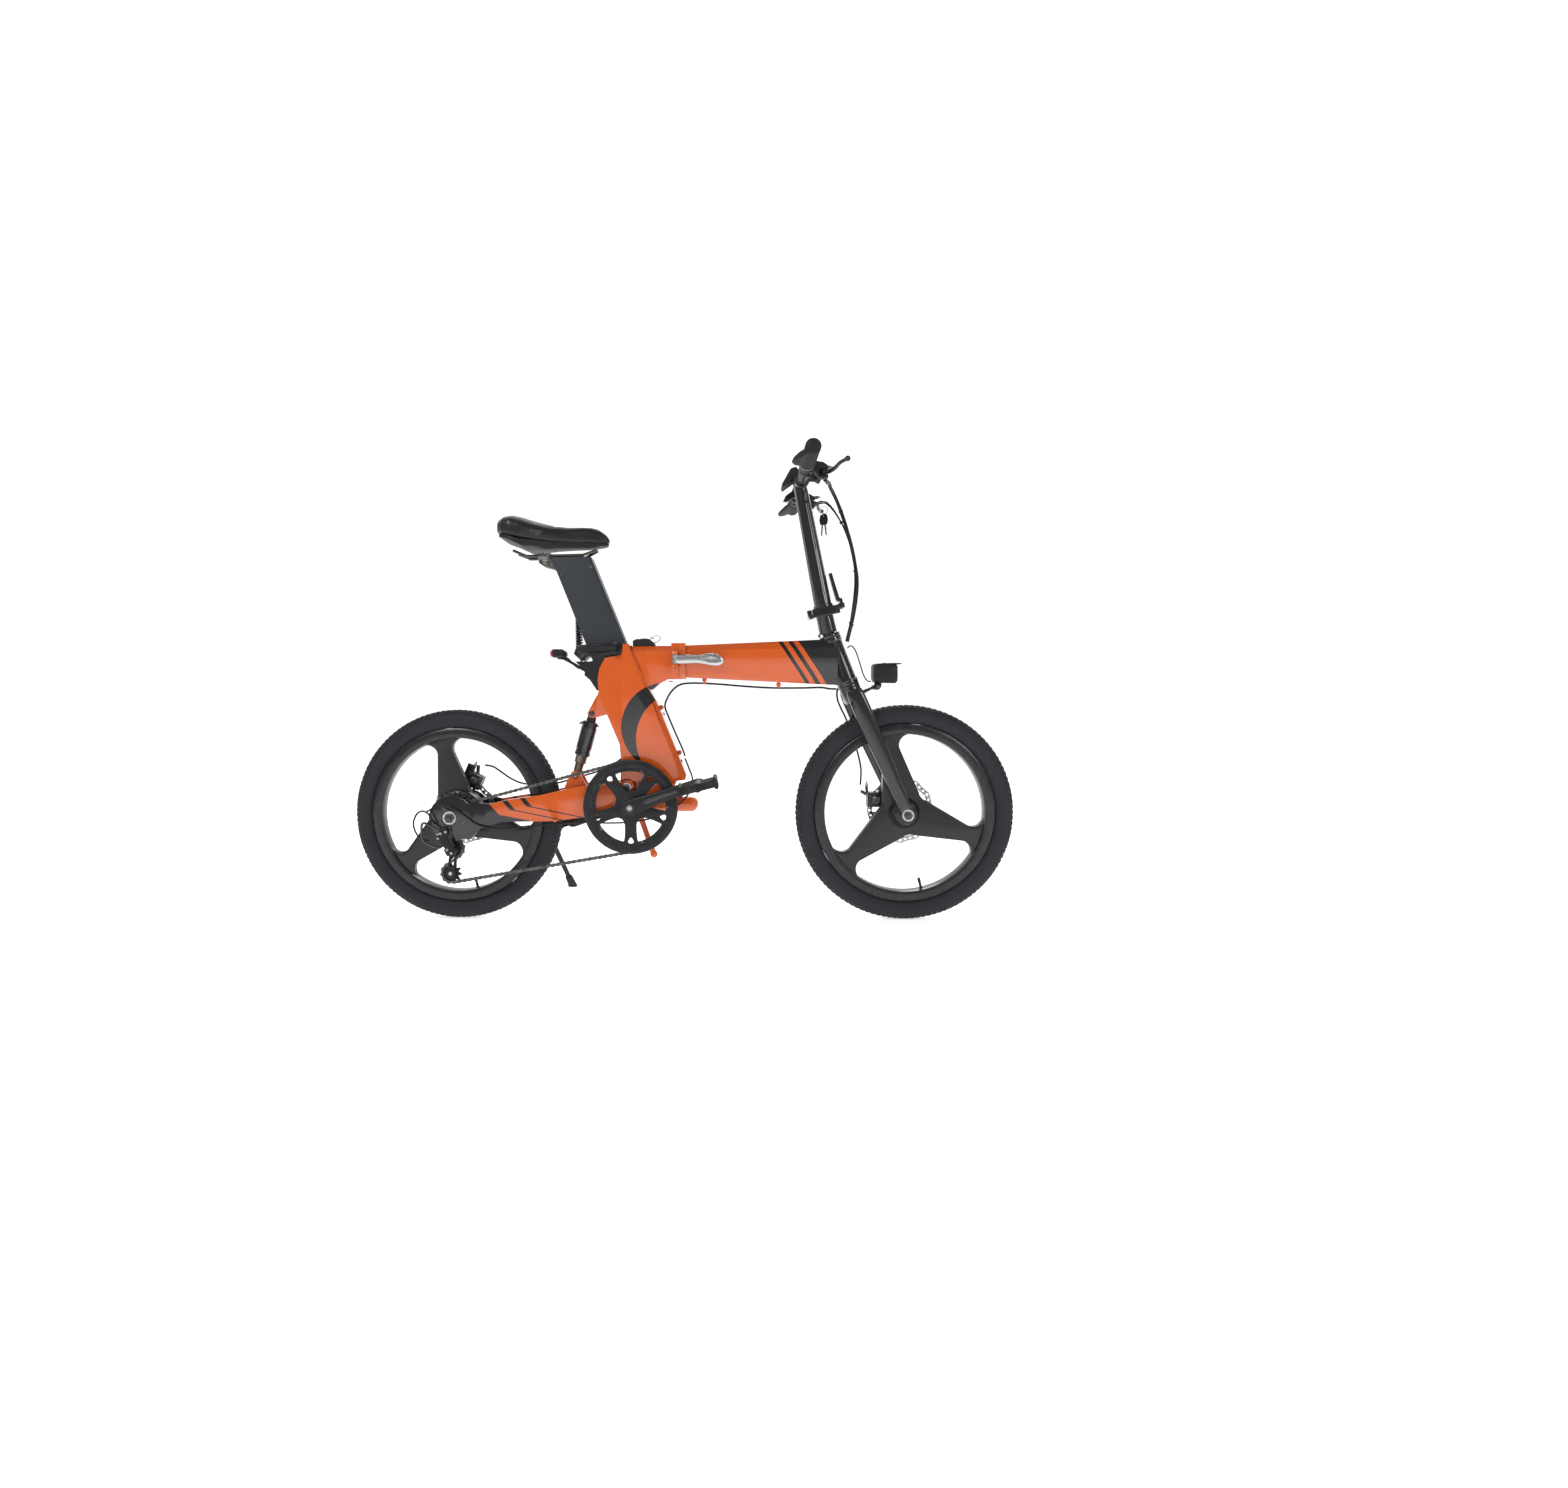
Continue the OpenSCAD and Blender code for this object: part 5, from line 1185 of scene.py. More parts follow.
def fork_piece():
    """Crown, steerer root and two tapered oval legs with forged dropouts."""
    top, foot = Vector((414, 0, 528)), Vector((532, 0, 253))
    run = (foot - top).normalized()
    fore = Vector((-run.z, 0, run.x))
    legs = []
    for s in (-1, 1):
        table = [(-16, 15, 8), (-10, 18.5, 9.6), (10, 20, 10), (60, 20.5, 10), (140, 18.5, 9.4),
            (220, 15.5, 8.6), (268, 13.5, 7.6), (284, 12.5, 6.0)]
        legs.append(loft("leg", [(top + run * d + Vector((0, s * (61 - 0.006 * max(0, d - 60)), 0)), fore * a,
            Vector((0, b, 0))) for d, a, b in table], 40, 2.8))
        tip = [turned([(-14, 30), (-9, -4), (-10, -13), (0, -17), (10, -13), (12, 0), (13, 30), (8, 44),
            (-8, 44)], (532, 253), math.degrees(math.atan2(-run.x, -run.z)) * -1)]
        legs.append(plate("tip", [tip[0]], s * 51, s * 57.8, 1.2, 2) if s > 0 else plate("tip", [tip[0]],
            -57.8, -51, 1.2, 2))
    crown = loft("crown", [((416, y, 530 - 0.004 * y * y), (17 - 0.0006 * y * y, 0, 5),
        (-5, 0, 13.5 - 0.0009 * y * y)) for y in (-70, -66, -52, -36, -18, 0, 18, 36, 52, 66, 70)], 36, 3)
    race = lathe("race", HEAD_FOOT, [(14.6, -8.6), (24.2, -8.6), (24.6, -12), (23, -30), (20, -42),
        (14.6, -42)], 48, True, head_axis)
    tabs = [plate("tab", [[(514, 318), (500, 318.5), (488, 316), (486, 308), (488, 299), (520, 296)]], 51,
        57, 1, 2),
        plate("tab", [[(534, 262), (500, 261), (488, 259), (486, 252), (488, 246), (536, 244)]], 51, 57,
        1, 2)]
    strap = [plate("strap", [[(424, 538), (428, 530), (441, 533.5), (462, 545), (461, 551), (438, 541.5)]],
        -9, 9, 0.8, 2)]
    for s in (-1, 1):
        strap.append(plate("ear", [[(458, 543), (472, 541.5), (480, 549), (472, 556.5), (459, 552)]],
            min(s * 5, s * 9), max(s * 5, s * 9), 0.7, 2))
        strap.append(bolt("bolt", (472, s * 9, 549), (0, s, 0), 4.6, 3.4))
    rivets = [bolt("bolt", (427, s * 20, 536), (0.5, 0, 0.86), 4, 2.5) for s in (-1, 1)]
    parts = [dress(p, black_gloss) for p in legs + [crown, race] + tabs + strap]
    steerer = dress(refined("fork", 0.8, 2, keep=lambda co: (co - HEAD_FOOT).dot(head_axis) > -9.5),
        dark_steel)
    return join("fork_finish_full", parts + [steerer] + [dress(r, dark_steel) for r in rivets])


place_on(fork_piece(), "fork", "black_paint", "fork", sharp=45)
stem = dress(refined("stem_base", 1.6, 3), black_gloss)
stem_extras = [dress(bolt("bolt", on_head(-20.4, y, 132), (-math.cos(math.radians(21)), 0,
    -math.sin(math.radians(21))), 4, 3), dark_steel) for y in (-7, 7)]
place_on(join("stem_base_finish_full", [stem] + stem_extras), "fork", "black_paint", "stem_base")
for name, body, hub, end, size in (("front_axle", "fork", FRONT_HUB, 57.8, 10),
        ("rear_axle", "swingarm", REAR_HUB, 75.2, 12)):
    axle = dress(refined(name, 0.5), dark_steel)
    caps = [dress(lathe("washer", (hub[0], 0, hub[1]), [(6.8, s * end), (size + 3.5, s * end),
        (size + 3.5, s * (end + 1.6)), (6.8, s * (end + 1.6))], 36), steel) for s in (-1, 1)]
    place_on(join(name + "_finish_full", [axle] + caps), body, "steel", name)


def headlight():
    shell = loft("shell", [((460.5, 0, 582), (0, 21, 0), (0, 0, 17)), ((463, 0, 581), (0, 25, 0), (0, 0, 21)),
        ((472, 0, 580.5), (0, 26.6, 0), (0, 0, 22.4)), ((495, 0, 580), (0, 27, 0), (0, 0, 23)),
        ((511, 0, 579), (0, 27, 0), (0, 0, 22.5)), ((514, 0, 579), (0, 25, 0), (0, 0, 20))], 48, 5)
    peak = loft("peak", [((466, 0, 600), (0, 22, 0), (0, 0, 3)), ((500, 0, 601.5), (0, 25, 0), (0, 0, 2.4)),
        ((520, 0, 601.8), (0, 25, 0), (0, 0, 1.6)), ((524, 0, 601.8), (0, 23, 0), (0, 0, 1.0))], 40, 6)
    lens = loft("lens", [((513.4, 0, 579), (0, 23.6, 0), (0, 0, 18.8)),
        ((516, 0, 579), (0, 22.5, 0), (0, 0, 17.6)), ((517.6, 0, 579), (0, 16, 0), (0, 0, 11))], 48, 5)
    eye = lathe("eye", (516.6, 0, 579), [(0, 1.5), (7, 1.2), (9.5, 0), (9.5, -1), (0, -1)], 40, False,
        Vector((1, 0, 0)))
    foot = plate("foot", [[(465, 561), (465.5, 548), (470, 542.5), (476, 542.5), (480, 548), (482, 561)]],
        -4.7, 4.7, 1.2, 3)
    fin = block("fin", (0, 0, 0), (1.2, 40, 2.6), 0.5, None, 1)
    fins = repeated("fins", [(461.5, 0, 570), (461.5, 0, 594)], fin, 6, plastic, (0, 1, 0), closed=False)
    bpy.data.objects.remove(fin)
    switch = lathe("switch", (487, 0, 603), [(0, -1), (5, -1), (5, 1.2), (4, 2), (0, 2)], 24, False,
        Vector((0, 0, 1)))
    bolt_pin = lathe("pin", (472, 0, 549), [(0, -12.5), (3, -12.5), (3, 12.5), (0, 12.5)], 20, False)
    return join("headlight_finish", [dress(shell, plastic), dress(peak, plastic), dress(lens, clear_lens),
        dress(eye, alloy), dress(foot, plastic), fins, dress(switch, rubber),
        dress(bolt_pin, dark_steel)])


place_on(headlight(), "headlight", "black_plastic", "headlight", sharp=40)

# ---- handlepost, bar and controls
post_axis = Vector((-math.sin(math.radians(POST_LEAN)), 0, math.cos(math.radians(POST_LEAN))))
post_fore = Vector((math.cos(math.radians(POST_LEAN)), 0, math.sin(math.radians(POST_LEAN))))
POST_LENGTH = (Vector((BAR[0], 0, BAR[1])) - POST_FOOT).length


def on_post(fore, side, up):
    return POST_FOOT + post_fore * fore + Vector((0, side, 0)) + post_axis * up


def fluted_post():
    """The post's outer skin: a taper with eight shallow flutes that run out at both ends."""
    bm = bmesh.new()
    rings, count = [], 96
    for i in range(41):
        t = i / 40
        up = 12 + (POST_LENGTH - 34) * t
        radius = 20.35 - 5.0 * (up / POST_LENGTH)
        fade = min(1, t / 0.06, (1 - t) / 0.06)
        ring = []
        for k in range(count):
            a = 2 * math.pi * k / count
            r = radius + 0.75 * fade * (abs(math.cos(4 * a)) ** 0.6 - 0.35)
            ring.append(bm.verts.new(on_post(r * math.cos(a), r * math.sin(a), up) * MM))
        rings.append(ring)
    for one, two in zip(rings, rings[1:]):
        for k in range(count):
            j = (k + 1) % count
            bm.faces.new((one[k], one[j], two[j], two[k]))
    bm.faces.new(rings[0])
    bm.faces.new(rings[-1])
    bmesh.ops.recalc_face_normals(bm, faces=bm.faces)
    return new_object("flutes", mesh_of(bm, "flutes"))


post = dress(refined("handlepost", 1.2, 3), black_gloss)
clamp = lathe("clamp", (BAR[0], 0, BAR[1]), [(11.3, -23), (16.6, -23), (17.6, -22), (17.6, -2), (17, -1),
    (17, 1), (17.6, 2), (17.6, 22), (16.6, 23), (11.3, 23)], 48)
collar_ring = lathe("ring", on_post(0, 0, 13), [(19.8, -3), (22.4, -3), (23, -2), (23, 3), (22, 4.5),
    (19.8, 4.5)], 48, True, post_axis)
post_bolts = [dress(bolt("bolt", on_post(17.6, y, POST_LENGTH + 2), post_fore, 4, 3.4),
    dark_steel) for y in (-14, 14)]
place_on(join("handlepost_finish_full", [post, dress(fluted_post(), black_gloss), dress(clamp, black_gloss),
    dress(collar_ring, black_gloss)] + post_bolts), "handlepost", "black_paint", "handlepost", sharp=28)
place_on(dress(lathe("handlebar_finish", (BAR[0], 0, BAR[1]),
    [(9.2, -290), (11.1, -289.4), (11.1, 289.4), (9.2, 290)], 40),
    black_satin), "handlepost", "black_paint", "handlebar")


def post_latch():
    arm = loft("arm", [(on_post(38, 0, 22), (0, 7.5, 0), post_fore * 3.4),
        (on_post(36.5, 0, 34), (0, 8.2, 0), post_fore * 3.4),
        (on_post(34.5, 0, 52), (0, 8.6, 0), post_fore * 3.2),
        (on_post(32.4, 0, 70), (0, 8.8, 0), post_fore * 3.2),
        (on_post(30.8, 0, 82), (0, 7.6, 0), post_fore * 3.0),
        (on_post(31, 0, 85.5), (0, 4, 0), post_fore * 1.6)], 32, 3)
    root = dress(refined("post_lever", 1.2, 3, keep=None), black_gloss)
    return join("post_lever_finish_full", [root, dress(arm, black_gloss)])


place_on(post_latch(), "post_lever", "black_paint", "post_lever")


def grip():
    """A palm grip: ringed barrel, end cap, clamp ring and the flattened palm wing."""
    barrel = [(11.2, -293.4), (14.5, -293.6), (16.4, -292)]
    for k in range(30):
        y = -288 + 4.0 * k
        barrel += [(16.4, y), (16.4, y + 2.6), (15.7, y + 3.0), (15.7, y + 3.6)]
    barrel += [(16.4, -168.6), (11.2, -168.6)]
    core = lathe("core", (BAR[0], 0, BAR[1]), barrel, 48)
    wing = []
    for y, reach, half in ((-291, 8, 5), (-286, 22, 6.2), (-272, 30, 6.6), (-252, 32, 6.6), (-232, 27, 6.4),
            (-212, 18, 6.0), (-196, 9, 5.4), (-186, 3, 4)):
        lean = math.radians(25)
        out = Vector((-math.cos(lean), 0, -math.sin(lean)))
        wing.append((Vector((BAR[0], y, BAR[1])) + out * (reach / 2 + 2) + Vector((0, 0, -2.0)),
            out * (reach / 2 + 10), Vector((-math.sin(lean), 0, math.cos(lean))) * half))
    palm = loft("palm", wing, 32, 2.6)
    ring = lathe("ring", (BAR[0], 0, BAR[1]), [(11.2, -175), (17.2, -175), (17.6, -174), (17.6, -168.4),
        (17.2, -167.8), (11.2, -167.8)], 48)
    cap = lathe("cap", (BAR[0], 0, BAR[1]), [(0, -294), (12, -294), (14.6, -293), (14.6, -291), (0, -291)],
        40, False)
    return [dress(core, grip_rubber), dress(palm, grip_rubber), dress(ring, dark_steel), dress(cap, plastic)]


right = grip()
left = [mirrored(part, part.name) for part in right]
place_on(join("grips_finish", right + left), "handlepost", "grip_rubber", "grips")

controls = dress(refined("bar_controls", 1.4, 3), plastic)
extras = []
for s in (-1, 1):
    extras += [dress(bolt("bolt", (297 + 8, s * 148, 1027 - 15.6), (0, 0, -1), 3.6, 3), dark_steel),
        dress(lathe("screw", (297 + 44.5, s * 143, 1027 - 4),
        [(0, 0), (4.2, 0), (4.2, 7), (3.4, 8), (2.6, 8), (2.6, 13), (0, 13)],
        20, False, Vector((0.9, -s * 0.35, 0))), dark_steel)]
extras.append(dress(lathe("dial", (297 + 26, -115, 1027 - 9),
    [(0, -11), (17, -11), (19.6, -9), (19.6, 9), (17, 11), (0, 11)], 40, False,
    Vector((0.86, 0, -0.5))), plastic))
extras.append(dress(loft("thumb", [((333, -121, 1004), (6, 0, 3), (0, 3, 0)),
    ((322, -128, 999), (7, 0, 3), (0, 3, 0)), ((308, -134, 998), (8, 0, 2.4), (0, 3, 0)),
    ((300, -137, 999), (3, 0, 1), (0, 2, 0))], 24), plastic))
place_on(join("bar_controls_finish_full", [controls] + extras), "handlepost", "black_plastic", "bar_controls")


def brake_lever(side):
    """A forged two-finger lever with a ball end."""
    route = [(333, -147, 1011.5), (343, -151, 1011.5), (349, -163, 1011.5), (353, -180, 1011.5),
        (356, -202, 1011.5), (359, -224, 1011.5), (366, -243, 1011.5), (371, -253, 1011.5)]
    path = smooth_route(route, 40)
    sections = []
    for i, q in enumerate(path):
        t = i / 40
        along = (path[min(i + 1, 40)] - path[max(i - 1, 0)]).normalized()
        across = along.cross(Vector((0, 0, 1)))
        half = 4.6 - 1.4 * t + (1.2 if t > 0.93 else 0) - (0.8 if 0.15 < t < 0.3 else 0)
        sections.append((q, across * half, Vector((0, 0, 4.4 - 0.8 * t))))
    blade = loft("blade", sections, 24, 2.6)
    ball = lathe("ball", (370.2, -252.4, 1011.5), [(0, -6), (3.8, -4.8), (5.8, -2), (5.8, 2), (3.8, 4.8),
        (0, 6)], 24, False, Vector((0, 0, 1)))
    hub = lathe("hub", (332, -148, 0), [(2.7, 1005.2), (5.4, 1005.2), (5.6, 1006), (5.6, 1016),
        (5.4, 1016.8), (2.7, 1016.8)], 24, True, Vector((0, 0, 1)))
    piece = join("lever", [dress(blade, black_satin), dress(ball, black_satin), dress(hub, black_satin)])
    if side > 0:
        twin = mirrored(piece, "brake_lever_left_finish")
        bpy.data.objects.remove(piece)
        return twin
    piece.name = "brake_lever_right_finish"
    return piece


place_on(brake_lever(-1), "brake_lever_right", "black_paint", "brake_lever_right")
place_on(brake_lever(1), "brake_lever_left", "black_paint", "brake_lever_left")
display = dress(refined("display", 2.0, 3), plastic)
glass = dress(block("glass", (279, 61, 1059.5), (30, 40, 2.2), 0.9,
    Matrix.Rotation(math.radians(-62), 3, "Y")), screen)
keys_ = [dress(lathe("key", (266 - 0.2, 47 + 9.5 * k, 1036), [(0, -1), (3.2, -1), (3.2, 1.4), (2.6, 1.9),
    (0, 1.9)], 20, False, Vector((-0.9, 0, 0.45))), rubber) for k in range(4)]
place_on(join("display_finish_full", [display, glass] + keys_), "handlepost", "black_plastic", "display")
paddle = dress(refined("throttle", 1.6, 3), plastic)
place_on(paddle, "throttle", "black_plastic", "throttle")


def key_set():
    ring = tube("ring", [(357 + 9 * math.cos(a), 76,
        978 + 9 * math.sin(a)) for a in [2 * math.pi * k / 36 for k in range(37)]], 0.9, 8)
    parts = [dress(ring, steel)]
    for x, z, tilt in ((353, 936, 4), (361, 938, -6)):
        bow = plate("bow", [[(-7, 28), (-8, 16), (-5, 6), (5, 6), (8, 16), (7, 28), (0, 32)],
            circle((0, 26), 2.4, 16)], -2.2, 2.2, 0.7, 2)
        blade = plate("blade", [[(-2.2, 7), (-2.2, -18), (0, -22), (2.2, -19), (2.2, -15), (1.2, -13),
            (2.2, -11), (1.4, -8), (2.2, -5), (2.2, 7)]], -0.9, 0.9, 0.2, 1)
        for part, material, y in ((bow, plastic, 74.6 if x < 357 else 77.6),
                (blade, steel, 74.6 if x < 357 else 77.6)):
            part.data.transform(Matrix.Translation((x * MM, y * MM,
                z * MM)) @ Matrix.Rotation(math.radians(tilt), 4, "Y"))
            parts.append(dress(part, material))
    return join("keys_finish", parts)


place_on(key_set(), "handlepost", "black_plastic", "keys")


# ---- swingarm, shock and brakes
swing = dress(refined("swingarm", 1.6, 3), orange_swing)
extras = []
for route in both_sides([(-268, 31.5, 314), (-240, 32.4, 320), (-205, 32.4, 322.5), (-176, 32.4, 322)]):
    extras.append(beads("weld", route, 2.4, 1.6, orange_plain))
for x, z, s in ((-500, 262, -1), (-500, 244, -1), (-290, 244, -1), (-480, 276, 1), (-480, 232, 1)):
    y = 75.6 if x < -470 else 46
    extras.append(dress(bolt("bolt", (x, s * y, z), (0, s, 0), 3.6, 2.4), dark_steel))
place_on(join("swingarm_finish_full", [swing] + extras), "swingarm", "orange_paint", "swingarm")

shock_axis = (SHOCK_TOP - SHOCK_LOW).normalized()


def shock():
    """An air damper: eye, shoulder, can with an adjusting ring, and the shaft below."""
    can = lathe("can", SHOCK_TOP, [(14.4, -103.6), (18.2, -103.6), (19, -102.6), (19, -96), (17.8, -95),
        (17.8, -88), (19, -87), (19, -34), (17.6, -33), (17.6, -30.6), (19, -29.6),
        (19, -22.5), (17.6, -20.6), (12, -19), (10.6, -8), (0, -8), (0, -30), (14.4, -33)], 56, True,
        shock_axis)
    eye = lathe("eye", SHOCK_TOP, [(4.2, -12.2), (10.4, -12.2), (11, -11.4), (11, 11.4), (10.4, 12.2),
        (4.2, 12.2)], 40)
    knurl = block("knurl", (0, 0, 0), (1.5, 2, 7), 0.4, None, 1)
    spot = SHOCK_TOP + shock_axis * -26
    side = shock_axis.orthogonal().normalized()
    other = shock_axis.cross(side)
    angles = [2 * math.pi * k / 72 for k in range(72)]
    ring = [spot + (side * math.cos(a) + other * math.sin(a)) * 18.9 for a in angles]
    knurls = repeated("knurls", ring, knurl, 40, black_satin, tuple(shock_axis))
    bpy.data.objects.remove(knurl)
    valve = lathe("valve", SHOCK_TOP + shock_axis * -30, [(0, 0), (2.6, 0), (2.6, 5), (3.2, 5.4), (3.2, 8),
        (0, 8.4)], 20, False, Vector((-0.96, 0, 0.27)))
    valve.data.transform(Matrix.Translation(Vector((-0.96, 0, 0.27)) * 17.5 * MM))
    body = join("shock_body_finish", [dress(can, black_gloss), dress(eye, black_satin), knurls,
        dress(valve, steel)])
    shaft = lathe("shaft", SHOCK_LOW, [(0, 90), (13.4, 90), (14, 89.4), (14, 32), (13.2, 30.6), (10.6, 30),
        (10.4, 12), (9.2, 4), (0, 4)], 56, False, shock_axis)
    low = lathe("low", SHOCK_LOW, [(4.2, -12.2), (9, -12.2), (9.4, -11.6), (9.4, 11.6), (9, 12.2),
        (4.2, 12.2)], 40)
    ends = [bolt("bolt", SHOCK_LOW + Vector((0, s * 20.4, 0)), (0, s, 0), 6.6, 3.6) for s in (-1, 1)]
    rod_ = lathe("rod", SHOCK_LOW, [(0, -22), (4, -22), (4, 22), (0, 22)], 24, False)
    moving = join("shock_shaft_finish", [dress(shaft, bronze), dress(low, black_satin), dress(rod_, steel)]
        + [dress(e, dark_steel) for e in ends])
    return body, moving


shock_can, shock_rod = shock()
place_on(shock_can, "shock_body", "black_paint", "shock_body")
place_on(shock_rod, "shock_shaft", "bronze_shaft", "shock_shaft")


def caliper(name, body, centre, y, tilt, foot):
    """A mechanical calliper: cast halves, pad slot, adapter with its bolts, cable stop and adjuster."""
    base = dress(refined(name, 1.8, 3), cast_black)
    turn = Matrix.Rotation(math.radians(tilt), 4, "Y")
    place = Matrix.Translation(Vector((centre[0], y, centre[1])) * MM) @ turn
    extras = []
    for z in (-22, 22):
        extras.append(dress(bolt("bolt", (foot * 20, 13, z), (0, 1, 0), 4, 3.6), dark_steel))
    for x, z in ((-14, -11), (14, -11), (-14, 11), (14, 11)):
        extras.append(dress(bolt("bolt", (x, -13, z), (0, -1, 0), 2.8, 1.6), dark_steel))
    extras.append(dress(lathe("knob", (0, -13, 0), [(0, 0), (9, 0), (9.6, -1), (9.6, -3), (8, -4), (3, -4),
        (3, -2.6), (0, -2.6)], 32, False), dark_steel))
    fin = block("fin", (0, 0, 0), (1.6, 10, 3), 0.5, None, 1)
    fins = repeated("fins", [(-12, 9, 17.4), (12, 9, 17.4)], fin, 6, cast_black, (0, 1, 0), closed=False)
    bpy.data.objects.remove(fin)
    extras.append(fins)
    stop = loft("stop", [((-16, 16, 12), (3, 0, 0), (0, 3.4, 0)), ((-18, 16.6, 24), (3.4, 0, 0), (0, 3.4, 0)),
        ((-18, 16.8, 32), (3.4, 0, 0), (0, 3.4, 0))], 24, 3)
    extras.append(dress(stop, cast_black))
    extras.append(dress(lathe("adjuster", (-18, 16.8, 30), [(0, 0), (3.6, 0), (3.6, 5), (2.4, 6), (2.4, 12),
        (0, 12)], 20, False, Vector((0, 0, 1))), steel))
    for part in extras:
        part.data.transform(place)
    place_on(join(name + "_finish_full", [base] + extras), body, "black_paint", name)


caliper("front_caliper", "fork", (473, 279), 37.2, 0, 1)
caliper("rear_caliper", "swingarm", (-506, 330), 45.2, 25, -1)
for name in ("front_brake_arm", "rear_brake_arm"):
    place_on(dress(refined(name, 0.8, 2), dark_steel), name, "black_paint", name)

# ---- drive
PITCH = 12.7


def pitch_radius(teeth):
    return PITCH / 2 / math.sin(math.pi / teeth)


def sprocket_outline(centre, teeth, start=0.0):
    """A chain wheel's edge: round seats for the rollers between rounded, narrow teeth."""
    r, points = pitch_radius(teeth), []
    for i in range(teeth):
        middle = 2 * math.pi * (i + 0.5) / teeth + start
        step = 2 * math.pi / teeth
        for share, rise in ((-0.5, -3.9), (-0.36, -3.2), (-0.27, -0.6), (-0.13, 2.2), (0, 2.9), (0.13, 2.2),
                (0.27, -0.6), (0.36, -3.2)):
            a = middle + share * step
            points.append((centre[0] + (r + rise) * math.cos(a), centre[1] + (r + rise) * math.sin(a)))
    return points


def chainring():
    """Ring, chain guard and five forked arms round the spider's boss."""
    windows = []
    for k in range(5):
        spread_ = []
        for a in range(-24, 25, 4):
            spread_.append((83 * math.cos(math.radians(a)), 83 * math.sin(math.radians(a))))
        spread_ += [(72, 33), (58, 25), (44, 15), (38, 9), (35.5, 0), (38, -9), (44, -15), (58, -25),
            (72, -33)]
        windows.append(turned(spread_, CRANK, 270 + 36 + 72 * k))
        small = [(82, -7), (86, -4), (86.5, 0), (86, 4), (82, 7), (74, 3), (72, 0), (74, -3)]
        windows.append(turned(small, CRANK, 270 + 72 * k))
    spider = plate("spider", [circle(CRANK, 93, 96)] + windows, CHAIN_Y - 7.2, CHAIN_Y - 2.2, 1.6, 3)
    guard = lathe("guard", (CRANK[0], 0, CRANK[1]), [(89.5, CHAIN_Y - 5.2), (92, CHAIN_Y - 8.2),
        (98, CHAIN_Y - 9.4), (105, CHAIN_Y - 8.8), (110.5, CHAIN_Y - 6.8), (111, CHAIN_Y - 5.0),
        (109, CHAIN_Y - 4.5), (95, CHAIN_Y - 4.2)], 120)
    ring = plate("ring", [sprocket_outline(CRANK, 52), circle(CRANK, 90, 96)], CHAIN_Y - 1.1, CHAIN_Y + 1.1,
        0.4, 1)
    carrier = lathe("carrier", (CRANK[0], 0, CRANK[1]), [(89.2, CHAIN_Y - 4.6), (98, CHAIN_Y - 4.6),
        (98, CHAIN_Y - 0.9), (89.2, CHAIN_Y - 0.9)], 96)
    boss = lathe("boss", (CRANK[0], 0, CRANK[1]), [(9.2, CHAIN_Y - 7.3), (23, CHAIN_Y - 7.3),
        (24, CHAIN_Y - 6.6), (24, CHAIN_Y + 1.2), (23, CHAIN_Y + 1.9), (9.2, CHAIN_Y + 1.9)], 56)
    head = bolt("head", (0, 0, 0), (0, -1, 0), 3.6, 1.8)
    heads = repeated("heads", ring_path(CRANK, 86.6, CHAIN_Y - 7.2, 120), head, 5, dark_steel)
    bpy.data.objects.remove(head)
    return join("chainring_finish", [dress(spider, black_satin), dress(guard, black_satin),
        dress(ring, dark_steel), dress(carrier, black_satin), dress(boss, black_satin), heads])


def crank_arms():
    parts = []
    for s, angle in ((-1, 19), (1, 199)):
        out = Vector((math.cos(math.radians(angle)), 0, math.sin(math.radians(angle))))
        across = Vector((-out.z, 0, out.x))
        centre = Vector((CRANK[0], 0, CRANK[1]))
        sections = [(centre + out * d + Vector((0, s * (73 + b), 0)), across * a, Vector((0, t, 0)))
            for d, a, t, b in ((-18.5, 8, 4, 0), (-15, 14, 6.4, 0), (0, 18.2, 6.9, 0),
            (20, 17.6, 6.8, 0), (50, 15.6, 6.6, 0.1),
            (100, 13.6, 6.4, 0.3), (140, 12.6, 6.3, 0.5), (170, 12.2, 6.2, 0.6),
            (179, 9, 5.6, 0.6), (182, 5, 3, 0.6))]
        arm = loft("arm", sections, 40, 3.2)
        cap = lathe("cap", centre + Vector((0, s * 80, 0)), [(0, -1), (10.4, -1), (10.8, 0), (10.2, 1.4),
            (6, 1.8), (5, 0.2), (0, 0.2)], 40, False, Vector((0, s, 0)))
        nut = bolt("nut", centre + Vector((0, s * 79.4, 0)), (0, s, 0), 6.6, 2.4)
        eye = centre + out * 170
        washer = lathe("washer", eye + Vector((0, s * 79.6, 0)), [(4.6, 0), (9, 0), (9, 1.4), (4.6, 1.4)],
            32, True, Vector((0, s, 0)))
        spindle = lathe("spindle", eye + Vector((0, s * 80, 0)),
            [(0, -5), (4.4, -5), (4.4, 0), (7.4, 0.4), (7.4, 8), (4.4, 9), (4.4, 87.5), (0, 88)],
            28, False, Vector((0, s, 0)))
        # shallow groove down the outer face
        groove = loft("groove", [(centre + out * d + Vector((0, s * 79.75, 0)), across * a,
            Vector((0, 0.35, 0))) for d, a in ((34, 2), (40, 4.4), (130, 3.2), (138, 1.6))], 24, 2.4)
        parts += [dress(arm, black_satin), dress(cap, black_gloss), dress(nut, steel),
            dress(washer, dark_steel), dress(spindle, dark_steel), dress(groove, black_gloss)]
    axle = lathe("axle", (CRANK[0], 0, CRANK[1]), [(0, -78), (8.3, -78), (8.5, -77), (8.5, 77), (8.3, 78),
        (0, 78)], 40, False)
    return join("crank_arms_finish", parts + [dress(axle, dark_steel)])


place_on(chainring(), "crankset", "black_paint", "chainring")
place_on(crank_arms(), "crankset", "black_paint", "crank_arms")


